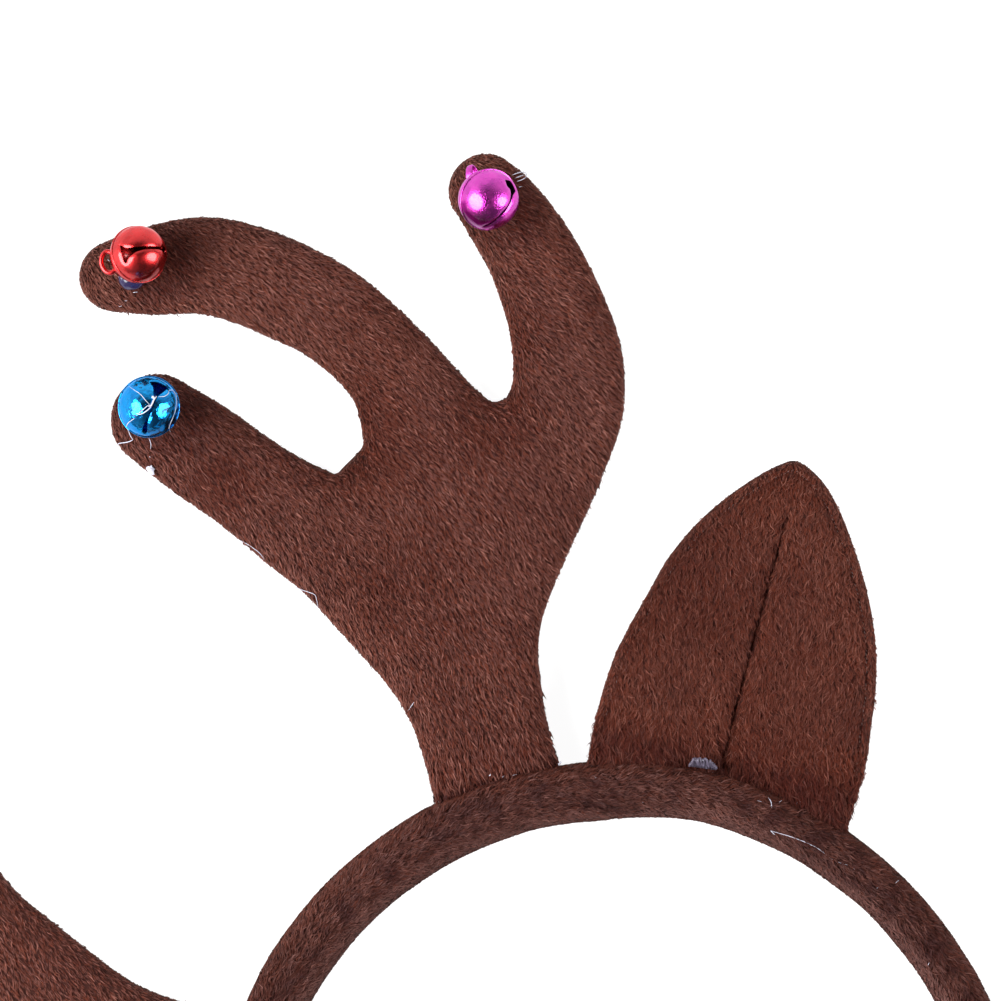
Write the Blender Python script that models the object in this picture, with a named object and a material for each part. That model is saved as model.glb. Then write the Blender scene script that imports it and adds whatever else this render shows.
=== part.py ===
"""Reindeer antler headband, lying on its back.

A stiff headband wrapped in short brown plush carries two flat padded antlers
and two stitched plush ears on its outer edge.  Three small coloured jingle
bells are glued to the front of each antler.

Frame: +Z is the front of the headband (the side the bells are on), +Y points
from the wearer's head towards the antlers, +X to the right as seen from the
front.  The back of the band lies on z = 0.  The right-hand pieces are worked
out once, and the left-hand ones are their mirror images in x = 0.
"""

import math

import bmesh
import bpy
import numpy as np
from mathutils import Matrix, Vector
from mathutils.geometry import delaunay_2d_cdt

MM = 0.001
GAP = 0.3 * MM                 # air between pieces that touch

# ---------------------------------------------------------------- dimensions
# Band: a padded tube whose outer edge is a circle round the crown, and which
# runs on into two straighter legs.
ARC_Y = -48.05 * MM             # y of the circle's centre
BAND_OUTER_R = 67.4 * MM
BAND_DEPTH = 12.0 * MM         # front to back
BAND_FLAT = 4.0 * MM           # flats at the back, front, inside and outside
ARC_HALF_DEG = 111.0           # the circle runs this far to each side of the crown
ARC_SEGMENTS = 41              # odd, so that one flat facet sits on the crown
LEG_LENGTH = 50.0 * MM
LEG_BEND_R = 250.0 * MM
LEG_SEGMENTS = 7
CAP_LENGTH = 4.2 * MM
SEAM_OFFSET = -0.9 * MM        # overlap seam along the front, inside of centre
SEAM_WANDER = 0.3 * MM
SEAM_DEPTH = 0.8 * MM

# Antler: seen from the front it is the union of strokes of changing width.
ANTLER_DEG = 30.1              # where its foot's centre sits, from the crown
ANTLER_FOOT_R = 66.9 * MM      # foot centre to the circle's centre
ANTLER_HALF = 3.75 * MM        # half its padded thickness
ANTLER_ROUND = 6.0 * MM        # width of the rounding along the edge
ANTLER_DROOP = (10.0 * MM, 62.0 * MM)   # heights between which it settles to the table
EDGE_NAP = 0.2 * MM
CROTCH_BLEND = 1.0 * MM

# Ear: two plies with a stitched margin, folded along a centre crease.
EAR_DEG = 61.8
EAR_FOOT_R = 67.5 * MM
EAR_CREASE_X = -1.5 * MM
EAR_CREASE_DEPTH = 1.1 * MM
EAR_CREASE_WIDTH = 1.4 * MM
EAR_CREASE_TOP = 44.0 * MM
EAR_CUP = 0.14                 # rise per width to each side of the crease

# Bell: turned shell with a crimp round its middle, a slit and two end holes.
BELL_R = 4.8 * MM
BELL_WALL = 0.4 * MM
BELL_CRIMP_R = 5.1 * MM
BELL_CRIMP_H = 0.6 * MM
BELL_SLIT = 0.45 * MM
BELL_HOLE_W = 2.8 * MM         # end hole, across its base
BELL_HOLE_H = 2.6 * MM         # end hole, base to point
LOOP_OUTER = 1.9 * MM
LOOP_WIRE_R = 0.45 * MM
LOOP_CENTRE = 5.9 * MM         # from the bell's centre
DAB_R = 3.6 * MM
DAB_HOLE_R = 3.1 * MM          # a dab round a loop
DAB_RIM_HOLLOW = 4.3 * MM

PLUSH_SRGB = (0.40, 0.245, 0.21)
EAR_SRGB = (0.42, 0.24, 0.205)

# Band thickness across, by angle from the crown.
BAND_THICKNESS = [
    # angle_deg, thickness_mm
    (0.0, 9.9),
    (44.0, 9.9),
    (56.0, 8.6),
    (111.0, 8.4),
]

# Antler strokes, in the antler's own frame: y up from the foot, x to the right.
ANTLER_STROKES = {
    "trunk": [
        # x_mm, y_mm, half_width_mm
        (-1.0, -2.5, 10.5),
        (-0.5, 6.5, 10.6),
        (-0.5, 15.0, 11.2),
        (-0.5, 20.5, 12.0),
        (-1.0, 28.0, 14.5),
        (0.5, 39.5, 20.0),
    ],
    "red_tine": [
        # x_mm, y_mm, half_width_mm
        (0.5, 39.5, 20.0),
        (5.5, 51.0, 14.0),
        (5.0, 60.0, 10.3),
        (2.5, 70.5, 8.0),
        (-3.5, 81.0, 7.9),
        (-9.5, 87.2, 8.2),
        (-16.0, 92.5, 8.2),
        (-22.5, 96.0, 8.0),
        (-30.5, 97.5, 7.3),
        (-36.8, 98.5, 5.8),
    ],
    "blue_tine": [
        # x_mm, y_mm, half_width_mm
        (0.5, 39.5, 20.0),
        (-12.0, 44.5, 11.2),
        (-18.8, 50.8, 9.2),
        (-25.0, 58.5, 8.2),
        (-31.5, 66.8, 8.2),
        (-37.0, 73.7, 7.6),
    ],
    "pink_tine": [
        # x_mm, y_mm, half_width_mm
        (0.5, 39.5, 20.0),
        (14.8, 46.2, 14.0),
        (23.0, 50.5, 10.5),
        (28.5, 56.5, 9.5),
        (31.0, 64.0, 9.0),
        (31.3, 72.5, 8.2),
        (30.3, 81.5, 7.5),
        (28.0, 89.5, 6.9),
        (26.0, 94.2, 6.1),
    ],
}

# Ear sections, in the ear's own frame: y up from the foot.
EAR_SECTIONS = [
    # y_mm, left_x_mm, right_x_mm
    (-6.5, -21.7, 22.0),
    (0.0, -22.3, 22.2),
    (7.0, -22.6, 22.4),
    (14.0, -22.2, 21.6),
    (20.0, -21.0, 20.8),
    (26.0, -19.4, 19.3),
    (32.0, -17.8, 17.0),
    (38.0, -15.1, 13.8),
    (42.5, -12.3, 10.9),
    (46.0, -9.6, 8.4),
    (49.0, -6.9, 5.8),
    (51.5, -4.2, 2.8),
]
EAR_TIP = (-1.3, 53.1)         # x_mm, y_mm

# Ear half thickness by distance in from the edge: stitched margin, then pad.
EAR_PROFILE = [
    # inset_mm, half_thickness_mm
    (0.0, 0.0),
    (0.4, 0.7),
    (1.7, 0.8),
    (3.5, 1.6),
    (7.0, 1.9),
    (30.0, 1.9),
]

# Bells, in the antler's own frame.  stand is the height of the bell's centre
# over the plush; mouth and slit are directions (azimuth from +x, elevation).
BELLS = [
    # name, x_mm, y_mm, stand_mm, mouth_az, mouth_el, slit_az, slit_el, sRGB
    ("red", -31.8, 100.7, 6.3, -2.0, 37.0, 168.0, 53.0, (0.78, 0.12, 0.14)),
    ("blue", -37.5, 76.1, 8.2, -67.0, 81.0, 49.0, 4.0, (0.0, 0.45, 0.80)),
    ("pink", 26.1, 92.4, 6.3, -79.0, 30.0, 26.0, 24.0, (0.80, 0.20, 0.68)),
]


# ------------------------------------------------------------------- helpers
def clear_scene():
    for obj in list(bpy.data.objects):
        bpy.data.objects.remove(obj, do_unlink=True)


def srgb_to_linear(colour):
    return [c / 12.92 if c <= 0.04045 else ((c + 0.055) / 1.055) ** 2.4 for c in colour]


def make_material(name, srgb, roughness, metallic=0.0):
    mat = bpy.data.materials.new(name)
    mat.use_nodes = True
    shader = mat.node_tree.nodes["Principled BSDF"]
    shader.inputs["Base Color"].default_value = (*srgb_to_linear(srgb), 1.0)
    shader.inputs["Roughness"].default_value = roughness
    shader.inputs["Metallic"].default_value = metallic
    mat.diffuse_color = (*srgb, 1.0)
    return mat


def mesh_from(name, verts, faces, material, sharp_deg=40.0):
    mesh = bpy.data.meshes.new(name)
    mesh.from_pydata([tuple(v) for v in verts], [], faces)
    mesh.validate()
    mesh.shade_smooth()
    mesh.set_sharp_from_angle(angle=math.radians(sharp_deg))
    mesh.materials.append(material)
    return mesh


def mirrored(mesh, name):
    """The mesh's mirror image in its own x = 0."""
    bm = bmesh.new()
    bm.from_mesh(mesh)
    bmesh.ops.scale(bm, vec=(-1.0, 1.0, 1.0), verts=bm.verts)
    bmesh.ops.reverse_faces(bm, faces=bm.faces)
    out = bpy.data.meshes.new(name)
    bm.to_mesh(out)
    bm.free()
    for mat in mesh.materials:
        out.materials.append(mat)
    return out


def add_object(name, mesh, parent=None, matrix=None):
    obj = bpy.data.objects.new(name, mesh)
    bpy.context.scene.collection.objects.link(obj)
    if parent is not None:
        obj.parent = parent
    if matrix is not None:
        obj.matrix_local = matrix
    return obj


def table_value(table, x):
    return float(np.interp(x, [row[0] for row in table], [row[1] for row in table]))


def smoothstep(x, low, high):
    t = np.clip((x - low) / (high - low), 0.0, 1.0)
    return t * t * (3.0 - 2.0 * t)


def spline(rows, steps):
    """Catmull-Rom curve through rows of numbers, steps to a span."""
    rows = [np.array(r, float) for r in rows]
    out = []
    for i in range(len(rows) - 1):
        p0, p1 = rows[max(i - 1, 0)], rows[i]
        p2, p3 = rows[i + 1], rows[min(i + 2, len(rows) - 1)]
        for j in range(steps):
            t = j / steps
            out.append(0.5 * (2 * p1 + (p2 - p0) * t + (2 * p0 - 5 * p1 + 4 * p2 - p3) * t * t
                              + (3 * p1 - p0 - 3 * p2 + p3) * t ** 3))
    out.append(rows[-1])
    return np.array(out)


# ---------------------------------------------------------------------- band
def band_stations():
    """Rings along the band: centre (x, y), outward (x, y), thickness, depth scale, wander."""
    rows = []
    for i in range(ARC_SEGMENTS + 1):
        a = math.radians(ARC_HALF_DEG * (2.0 * i / ARC_SEGMENTS - 1.0))
        thick = table_value(BAND_THICKNESS, abs(math.degrees(a))) * MM
        out = (math.sin(a), math.cos(a))
        r = BAND_OUTER_R - thick / 2
        rows.append(((r * out[0], ARC_Y + r * out[1]), out, thick, 1.0, math.sin(9.0 * a + 0.6)))
    thick = rows[-1][2]
    (x, y), heading = rows[-1][0], math.radians(ARC_HALF_DEG)
    right = []
    step = LEG_LENGTH / LEG_SEGMENTS
    for i in range(LEG_SEGMENTS):
        heading += 0.5 * step / LEG_BEND_R
        x += step * math.cos(heading)
        y -= step * math.sin(heading)
        heading += 0.5 * step / LEG_BEND_R
        right.append(((x, y), (math.sin(heading), math.cos(heading)), thick, 1.0,
                      math.sin(9.0 * heading + 0.6)))
    for frac in (0.45, 0.78, 0.96):
        px = x + CAP_LENGTH * frac * math.cos(heading)
        py = y - CAP_LENGTH * frac * math.sin(heading)
        right.append(((px, py), (math.sin(heading), math.cos(heading)), thick,
                      math.sqrt(1.0 - frac * frac), 0.0))
    left = [((-c[0], c[1]), (-o[0], o[1]), t, s, -w) for c, o, t, s, w in right]
    tip = (x + CAP_LENGTH * math.cos(heading), y - CAP_LENGTH * math.sin(heading))
    return list(reversed(left)) + rows + right, (-tip[0], tip[1]), tip


def band_section(thick, scale, wander):
    """Rounded rectangle with a seam groove in its front: (across, z) points."""
    flat = BAND_FLAT / 2
    a, b = thick / 2 - flat, BAND_DEPTH / 2 - flat
    pts = []
    for quarter in range(4):
        sx, sz = ((1, 1), (-1, 1), (-1, -1), (1, -1))[quarter]
        for j in range(4):
            ang = math.radians(90.0 * quarter + 30.0 * j)
            pts.append((sx * flat + a * math.cos(ang), sz * flat + b * math.sin(ang)))
        if quarter == 0:
            seam = SEAM_OFFSET + SEAM_WANDER * wander
            top = BAND_DEPTH / 2
            pts.append((seam + 0.7 * MM, top))
            pts.append((seam, top - SEAM_DEPTH))
            pts.append((seam - 0.7 * MM, top - 0.15 * MM))
    return [(u * scale, v * scale) for u, v in pts]


def band_mesh(material):
    stations, start, end = band_stations()
    verts, faces = [], []
    for centre, out, thick, scale, wander in stations:
        for across, z in band_section(thick, scale, wander):
            verts.append((centre[0] + out[0] * across, centre[1] + out[1] * across,
                          BAND_DEPTH / 2 + z))
    n = len(verts) // len(stations)
    for i in range(len(stations) - 1):
        for j in range(n):
            k = (j + 1) % n
            faces.append((i * n + j, i * n + k, (i + 1) * n + k, (i + 1) * n + j))
    verts.append((start[0], start[1], BAND_DEPTH / 2))
    verts.append((end[0], end[1], BAND_DEPTH / 2))
    last = (len(stations) - 1) * n
    for j in range(n):
        k = (j + 1) % n
        faces.append((len(verts) - 2, k, j))
        faces.append((len(verts) - 1, last + j, last + k))
    return mesh_from("headband", verts, faces, material, 50.0)


# ------------------------------------------------------------- padded panels
def polyline_distance(points, line):
    """Distance from each point to an open polyline."""
    best = np.full(len(points), 1e9)
    for a, b in zip(line[:-1], line[1:]):
        ab = b - a
        t = np.clip((points - a) @ ab / max(ab @ ab, 1e-18), 0.0, 1.0)
        best = np.minimum(best, np.hypot(*(points - a - t[:, None] * ab).T))
    return best


def thin_out(line, longest, shortest, turn_deg):
    """Keep points of a dense line, closer together where it turns."""
    keep, run, turned = [0], 0.0, 0.0
    for i in range(1, len(line) - 1):
        a, b = line[i] - line[i - 1], line[i + 1] - line[i]
        run += math.hypot(*a)
        turned += abs(math.atan2(a[0] * b[1] - a[1] * b[0], a @ b))
        if run >= longest or (turned >= math.radians(turn_deg) and run >= shortest):
            keep.append(i)
            run, turned = 0.0, 0.0
    if math.hypot(*(line[keep[-1]] - line[-1])) < shortest:
        keep.pop()
    keep.append(len(line) - 1)
    return line[keep]


def foot_arc(start, end, centre, spacing):
    """Points between start and end on the circle round centre."""
    a0 = math.atan2(start[1] - centre[1], start[0] - centre[0])
    a1 = math.atan2(end[1] - centre[1], end[0] - centre[0])
    r = math.hypot(*(start - centre))
    n = max(2, round(abs(a1 - a0) * r / spacing))
    return np.array([centre + r * np.array([math.cos(a0 + (a1 - a0) * i / n),
                                            math.sin(a0 + (a1 - a0) * i / n)])
                     for i in range(1, n)])


def panel_mesh(name, side, foot, half, middle, insets, grid, extra, material):
    """Closed padded panel.  side runs anticlockwise along the free edge, foot
    closes it along the band.  half(d, p) and middle(p) give the thickness and
    the mid surface, with d the distance in from the free edge."""
    outline = np.vstack([side, foot])
    loop = np.vstack([outline, outline[:1]])
    flat = [tuple(p) for p in outline]
    kept = list(outline)

    def add(point, clear):
        if min(np.hypot(*(np.array(kept) - point).T)) > clear:
            kept.append(point)

    m = len(outline)
    for inset, clear in insets:
        for i in range(m):
            t = outline[(i + 1) % m] - outline[i - 1]
            t /= math.hypot(*t)
            p = outline[i] + inset * np.array([-t[1], t[0]])
            if polyline_distance(p[None], loop)[0] > 0.9 * inset:
                add(p, clear)
    for p in extra:
        add(np.array(p), 0.8 * MM)
    low, high = outline.min(axis=0), outline.max(axis=0)
    row = 0
    y = low[1]
    reach = insets[-1][0] + 0.55 * grid
    while y < high[1]:
        x = low[0] + (0.5 * grid if row % 2 else 0.0)
        while x < high[0]:
            p = np.array([x, y])
            if inside(p, outline) and polyline_distance(p[None], loop)[0] > reach:
                add(p, 0.6 * grid)
            x += grid
        y += grid * 0.866
        row += 1
    coords = [Vector((p[0] / MM, p[1] / MM)) for p in kept]
    result = delaunay_2d_cdt(coords, [], [list(range(m))], 1, 1e-5)
    points = np.array([[v.x * MM, v.y * MM] for v in result[0]])
    tris = [list(f) for f in result[2]]
    d = polyline_distance(points, side)
    h = half(d, points)
    mid = middle(points)
    top, bottom, verts = [], [], []
    for p, hh, mm in zip(points, h, mid):
        top.append(len(verts))
        verts.append((p[0], p[1], mm + hh))
        if hh > 1e-6:
            bottom.append(len(verts))
            verts.append((p[0], p[1], mm - hh))
        else:
            bottom.append(top[-1])
    faces, used = [], {}
    for t in tris:
        a, b, c = t
        area = ((points[b] - points[a])[0] * (points[c] - points[a])[1]
                - (points[b] - points[a])[1] * (points[c] - points[a])[0])
        if area < 0:
            a, b, c = a, c, b
        faces.append((top[a], top[b], top[c]))
        faces.append((bottom[c], bottom[b], bottom[a]))
        for e in ((a, b), (b, c), (c, a)):
            used[e] = used.get(e, 0) + 1
    for a, b in used:
        if (b, a) in used:
            continue
        wall = [bottom[a], bottom[b], top[b], top[a]]
        wall = [v for i, v in enumerate(wall) if v != wall[i - 1]]
        if len(wall) > 2:
            faces.append(tuple(wall))
    return mesh_from(name, verts, faces, material, 70.0)


def inside(p, polygon):
    x, y = p
    hit = False
    for (x0, y0), (x1, y1) in zip(polygon, np.roll(polygon, -1, axis=0)):
        if (y0 > y) != (y1 > y) and x < (x1 - x0) * (y - y0) / (y1 - y0) + x0:
            hit = not hit
    return hit


# -------------------------------------------------------------------- antler
ANTLER_CIRCLE = np.array([0.0, -ANTLER_FOOT_R])


def antler_chains():
    chains = []
    for rows in ANTLER_STROKES.values():
        line = spline(rows, 4) * MM
        line[:, 2] += EDGE_NAP
        chains.append(line)
    return chains


def antler_field(points, chains):
    """Signed distance to the strokes' blended outline, negative inside."""
    total = None
    for line in chains:
        part = np.full(len(points), 1e9)
        for a, b in zip(line[:-1], line[1:]):
            ab = b[:2] - a[:2]
            t = np.clip((points - a[:2]) @ ab / (ab @ ab), 0.0, 1.0)
            gap = np.hypot(*(points - a[:2] - t[:, None] * ab).T)
            part = np.minimum(part, gap - (a[2] + (b[2] - a[2]) * t))
        if total is None:
            total = part
        else:
            w = np.clip(0.5 + 0.5 * (part - total) / CROTCH_BLEND, 0.0, 1.0)
            total = part * (1 - w) + total * w - CROTCH_BLEND * w * (1 - w)
    return total


def field_slope(p, chains):
    e = 0.02 * MM
    f = antler_field(np.array([p, p + (e, 0), p + (0, e)]), chains)
    g = np.array([f[1] - f[0], f[2] - f[0]]) / e
    return f[0], g / max(math.hypot(*g), 1e-9)


def antler_side(chains):
    """Walk the free edge anticlockwise, from the foot's right end to its left."""
    r = BAND_OUTER_R + GAP
    ends = []
    for sign in (1, -1):
        low, high = 0.0, math.radians(16.0)
        for _ in range(40):
            a = 0.5 * (low + high)
            p = ANTLER_CIRCLE + r * np.array([sign * math.sin(a), math.cos(a)])
            if antler_field(p[None], chains)[0] < 0:
                low = a
            else:
                high = a
        ends.append(p)
    step = 0.4 * MM
    p, line = ends[0], [ends[0]]
    while len(line) < 4000:
        f, n = field_slope(p, chains)
        p = p + step * np.array([-n[1], n[0]])
        for _ in range(3):
            f, n = field_slope(p, chains)
            p = p - f * n
        if len(line) > 50 and math.hypot(*(p - ANTLER_CIRCLE)) < r + 0.3 * step:
            break
        line.append(p)
    line.append(ends[1])
    return np.array(line)


def antler_half(d, points):
    t = np.clip(d / ANTLER_ROUND, 0.0, 1.0)
    return ANTLER_HALF * np.sqrt(np.clip(1.0 - (1.0 - t) ** 2, 0.0, 1.0))


def antler_middle(points):
    drop = BAND_DEPTH / 2 - ANTLER_HALF
    return BAND_DEPTH / 2 - drop * smoothstep(points[:, 1], *ANTLER_DROOP)


def antler_mesh(side, material):
    side = thin_out(side, 4.2 * MM, 1.3 * MM, 26.0)
    foot = foot_arc(side[-1], side[0], ANTLER_CIRCLE, 4.5 * MM)
    insets = [(0.5 * MM, 0.6 * MM), (2.0 * MM, 1.5 * MM), (5.0 * MM, 3.0 * MM)]
    return panel_mesh("antler", side, foot, antler_half, antler_middle, insets, 7.0 * MM, [],
                      material)


# ----------------------------------------------------------------------- ear
EAR_CIRCLE = np.array([0.0, -EAR_FOOT_R])


def ear_side():
    """Free edge, anticlockwise from the foot's right end over the tip to its left."""
    right = [(row[2], row[0]) for row in EAR_SECTIONS]
    left = [(row[1], row[0]) for row in reversed(EAR_SECTIONS)]
    line = spline(right + [EAR_TIP] + left, 14) * MM
    r = BAND_OUTER_R + GAP
    clear = np.hypot(*(line - EAR_CIRCLE).T) - r
    first = int(np.argmax(clear > 0))
    last = len(line) - 1 - int(np.argmax(clear[::-1] > 0))
    start = line[first - 1] + (line[first] - line[first - 1]) * (
        -clear[first - 1] / (clear[first] - clear[first - 1]))
    end = line[last] + (line[last + 1] - line[last]) * (clear[last] / (clear[last] - clear[last + 1]))
    return np.vstack([[start], line[first + 1:last], [end]])


def ear_half(d, points):
    return np.interp(d / MM, [r[0] for r in EAR_PROFILE], [r[1] for r in EAR_PROFILE]) * MM


def ear_middle(points):
    x, y = points[:, 0], points[:, 1]
    off = np.abs(x - EAR_CREASE_X)
    settle = 5.2 * MM - 2.2 * MM * smoothstep(y, 0.0, 38.0 * MM)
    cup = EAR_CUP * off * (1.0 - 0.45 * smoothstep(y, 10.0 * MM, 50.0 * MM))
    fade = 1.0 - smoothstep(y, EAR_CREASE_TOP - 8.0 * MM, EAR_CREASE_TOP)
    crease = EAR_CREASE_DEPTH * np.exp(-(off / EAR_CREASE_WIDTH) ** 2) * fade
    bulge = 1.0 * MM * np.exp(-((x - 16.0 * MM) ** 2 + (y - 2.0 * MM) ** 2) / (7.0 * MM) ** 2)
    return settle + cup - crease + bulge


def ear_mesh(material):
    side = thin_out(ear_side(), 4.0 * MM, 1.2 * MM, 24.0)
    foot = foot_arc(side[-1], side[0], EAR_CIRCLE, 4.5 * MM)
    crease = [(EAR_CREASE_X + dx * MM, y * MM) for dx in (0.0, -2.2, 2.2)
              for y in np.arange(3.0, 46.0, 4.2)]
    insets = [(0.4 * MM, 0.5 * MM), (1.9 * MM, 1.3 * MM), (4.2 * MM, 2.4 * MM)]
    return panel_mesh("ear", side, foot, ear_half, ear_middle, insets, 6.0 * MM, crease, material)


# --------------------------------------------------------------------- bells
def turned(bm, profile, segments, inward=False):
    """Turn a profile of (r, z), from the top of the axis to its foot."""
    rings = []
    for r, z in profile:
        if r < 1e-9:
            rings.append([bm.verts.new((0.0, 0.0, z))])
        else:
            rings.append([bm.verts.new((r * math.cos(2 * math.pi * i / segments),
                                        r * math.sin(2 * math.pi * i / segments), z))
                          for i in range(segments)])
    for upper, lower in zip(rings[:-1], rings[1:]):
        for i in range(segments):
            j = (i + 1) % segments
            if len(upper) == 1:
                face = [upper[0], lower[i], lower[j]]
            elif len(lower) == 1:
                face = [upper[i], lower[0], upper[j]]
            else:
                face = [upper[i], lower[i], lower[j], upper[j]]
            bm.faces.new(list(reversed(face)) if inward else face)
    return rings


def bell_shell():
    """Hollow shell: round outside with the crimp, round inside."""
    outer = []
    rise = BELL_CRIMP_H / 2
    low = math.degrees(math.asin(rise / BELL_R))
    for i in range(6):
        a = math.radians(90.0 - (90.0 - low) * i / 5)
        outer.append((BELL_R * math.cos(a) if i else 0.0, BELL_R * math.sin(a)))
    outer += [(BELL_CRIMP_R, rise * 0.8), (BELL_CRIMP_R, -rise * 0.8)]
    outer += [(r, -z) for r, z in reversed(outer[:6])]
    ri = BELL_R - BELL_WALL
    inner = [(ri * math.sin(math.pi * i / 6) if i % 6 else 0.0, ri * math.cos(math.pi * i / 6))
             for i in range(7)]
    bm = bmesh.new()
    turned(bm, outer, 20)
    turned(bm, inner, 14, inward=True)
    return bm


def loop_ring():
    """Oval stamped loop in the x-z plane, below the shell."""
    bm = bmesh.new()
    n, m = 12, 5
    mid = LOOP_OUTER - LOOP_WIRE_R
    grid = []
    for i in range(n):
        a = 2 * math.pi * i / n
        row = []
        for j in range(m):
            b = 2 * math.pi * (j + 0.5) / m
            r = mid + LOOP_WIRE_R * math.cos(b)
            row.append(bm.verts.new((r * math.sin(a), LOOP_WIRE_R * math.sin(b),
                                     -LOOP_CENTRE + 0.9 * r * math.cos(a))))
        grid.append(row)
    for i in range(n):
        for j in range(m):
            a, b = (i + 1) % n, (j + 1) % m
            bm.faces.new([grid[i][j], grid[i][b], grid[a][b], grid[a][j]])
    bmesh.ops.recalc_face_normals(bm, faces=bm.faces)
    return bm


def slit_cutter():
    bm = bmesh.new()
    half = BELL_R * 0.93
    bmesh.ops.create_cube(bm, size=1.0, matrix=Matrix.Translation((0, 0, 3.6 * MM))
                          @ Matrix.Diagonal((BELL_SLIT, 2 * half, 5.2 * MM, 1.0)))
    return bm


def hole_cutter(sign):
    """Triangular prism along y, with its base beside the crimp."""
    bm = bmesh.new()
    base = BELL_CRIMP_H / 2 + 0.35 * MM
    tri = [(-BELL_HOLE_W / 2, base), (BELL_HOLE_W / 2, base), (0.0, base + BELL_HOLE_H)]
    near = [bm.verts.new((x, sign * 2.0 * MM, z)) for x, z in tri]
    far = [bm.verts.new((x, sign * 6.0 * MM, z)) for x, z in tri]
    bm.faces.new(near)
    bm.faces.new(list(reversed(far)))
    for i in range(3):
        j = (i + 1) % 3
        bm.faces.new([near[j], near[i], far[i], far[j]])
    bmesh.ops.recalc_face_normals(bm, faces=bm.faces)
    return bm


def temporary(name, bm):
    mesh = bpy.data.meshes.new(name)
    bm.to_mesh(mesh)
    bm.free()
    return add_object(name, mesh)


def bell_mesh(name):
    """Shell with its loop joined on and its slit and end holes cut."""
    shell = temporary("bell_work", bell_shell())
    steps = [("UNION", loop_ring()), ("DIFFERENCE", hole_cutter(1)),
             ("DIFFERENCE", hole_cutter(-1)), ("DIFFERENCE", slit_cutter())]
    helpers = []
    for i, (operation, bm) in enumerate(steps):
        tool = temporary("bell_tool_%d" % i, bm)
        tool.hide_render = True
        tool.display_type = "WIRE"
        mod = shell.modifiers.new("step_%d" % i, "BOOLEAN")
        mod.operation = operation
        mod.solver = "EXACT"
        mod.object = tool
        helpers.append(tool)
    bpy.context.view_layer.update()
    graph = bpy.context.evaluated_depsgraph_get()
    mesh = bpy.data.meshes.new_from_object(shell.evaluated_get(graph))
    mesh.name = name
    for obj in helpers + [shell]:
        bpy.data.objects.remove(obj, do_unlink=True)
    mesh.shade_smooth()
    mesh.set_sharp_from_angle(angle=math.radians(32.0))
    return mesh


def direction(az, el):
    az, el = math.radians(az), math.radians(el)
    return Vector((math.cos(az) * math.cos(el), math.sin(az) * math.cos(el), math.sin(el)))


def bell_matrix(position, mouth, slit):
    """Bell frame: z out of the mouth, y along the slit."""
    z = mouth.normalized()
    y = (slit - slit.dot(z) * z).normalized()
    x = y.cross(z)
    m = Matrix((x, y, z)).transposed().to_4x4()
    return Matrix.Translation(position) @ m


def dab_mesh(name, centre, side, hollow, material):
    """Cup of glue between the plush and a bell's underside.  Its foot follows
    the padded surface; a hollow one leaves room for a loop under the bell."""
    cup_r = BELL_CRIMP_R + GAP
    segments = 14
    hole = DAB_HOLE_R if hollow else 0.0
    rim = DAB_RIM_HOLLOW if hollow else DAB_R
    radii = [hole + (rim - hole) * i / 3 for i in range(4)]
    tops = [centre.z - math.sqrt(cup_r ** 2 - r ** 2) for r in radii]
    verts, faces = [], []

    def ring(r, lift):
        pts = []
        for i in range(segments):
            a = 2 * math.pi * i / segments
            x, y = centre.x + r * math.cos(a), centre.y + r * math.sin(a)
            pts.append((x, y, lift(x, y)))
        start = len(verts)
        verts.extend(pts)
        return [start + i for i in range(segments)]

    def foot(x, y):
        return antler_top(np.array([[x, y]]), side)[0] + GAP

    rows = []
    if not hollow:
        verts.append((centre.x, centre.y, tops[0]))
    first = 0 if hollow else 1
    for r, z in list(zip(radii, tops))[first:]:
        rows.append(ring(r, lambda x, y, z=z: z))
    rows.append(ring(rim + 0.5 * MM, foot))
    for r in reversed(radii[first:-1]):
        rows.append(ring(r, foot))
    if hollow:
        rows.append(rows[0])
    for upper, lower in zip(rows[:-1], rows[1:]):
        for i in range(segments):
            j = (i + 1) % segments
            faces.append((upper[i], lower[i], lower[j], upper[j]))
    if not hollow:
        verts.append((centre.x, centre.y, foot(centre.x, centre.y)))
        for i in range(segments):
            j = (i + 1) % segments
            faces.append((0, rows[0][i], rows[0][j]))
            faces.append((rows[-1][i], len(verts) - 1, rows[-1][j]))
    return mesh_from(name, verts, faces, material)


def antler_top(points, side):
    d = polyline_distance(points, side)
    return antler_middle(points) + antler_half(d, points)


# ------------------------------------------------------------------ assembly
def foot_matrix(deg, radius, sign):
    """Frame of a piece standing on the band's circle, y pointing outward."""
    a = math.radians(deg)
    place = Vector((sign * radius * math.sin(a), ARC_Y + radius * math.cos(a), 0.0))
    return Matrix.Translation(place) @ Matrix.Rotation(-sign * a, 4, "Z")


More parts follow.
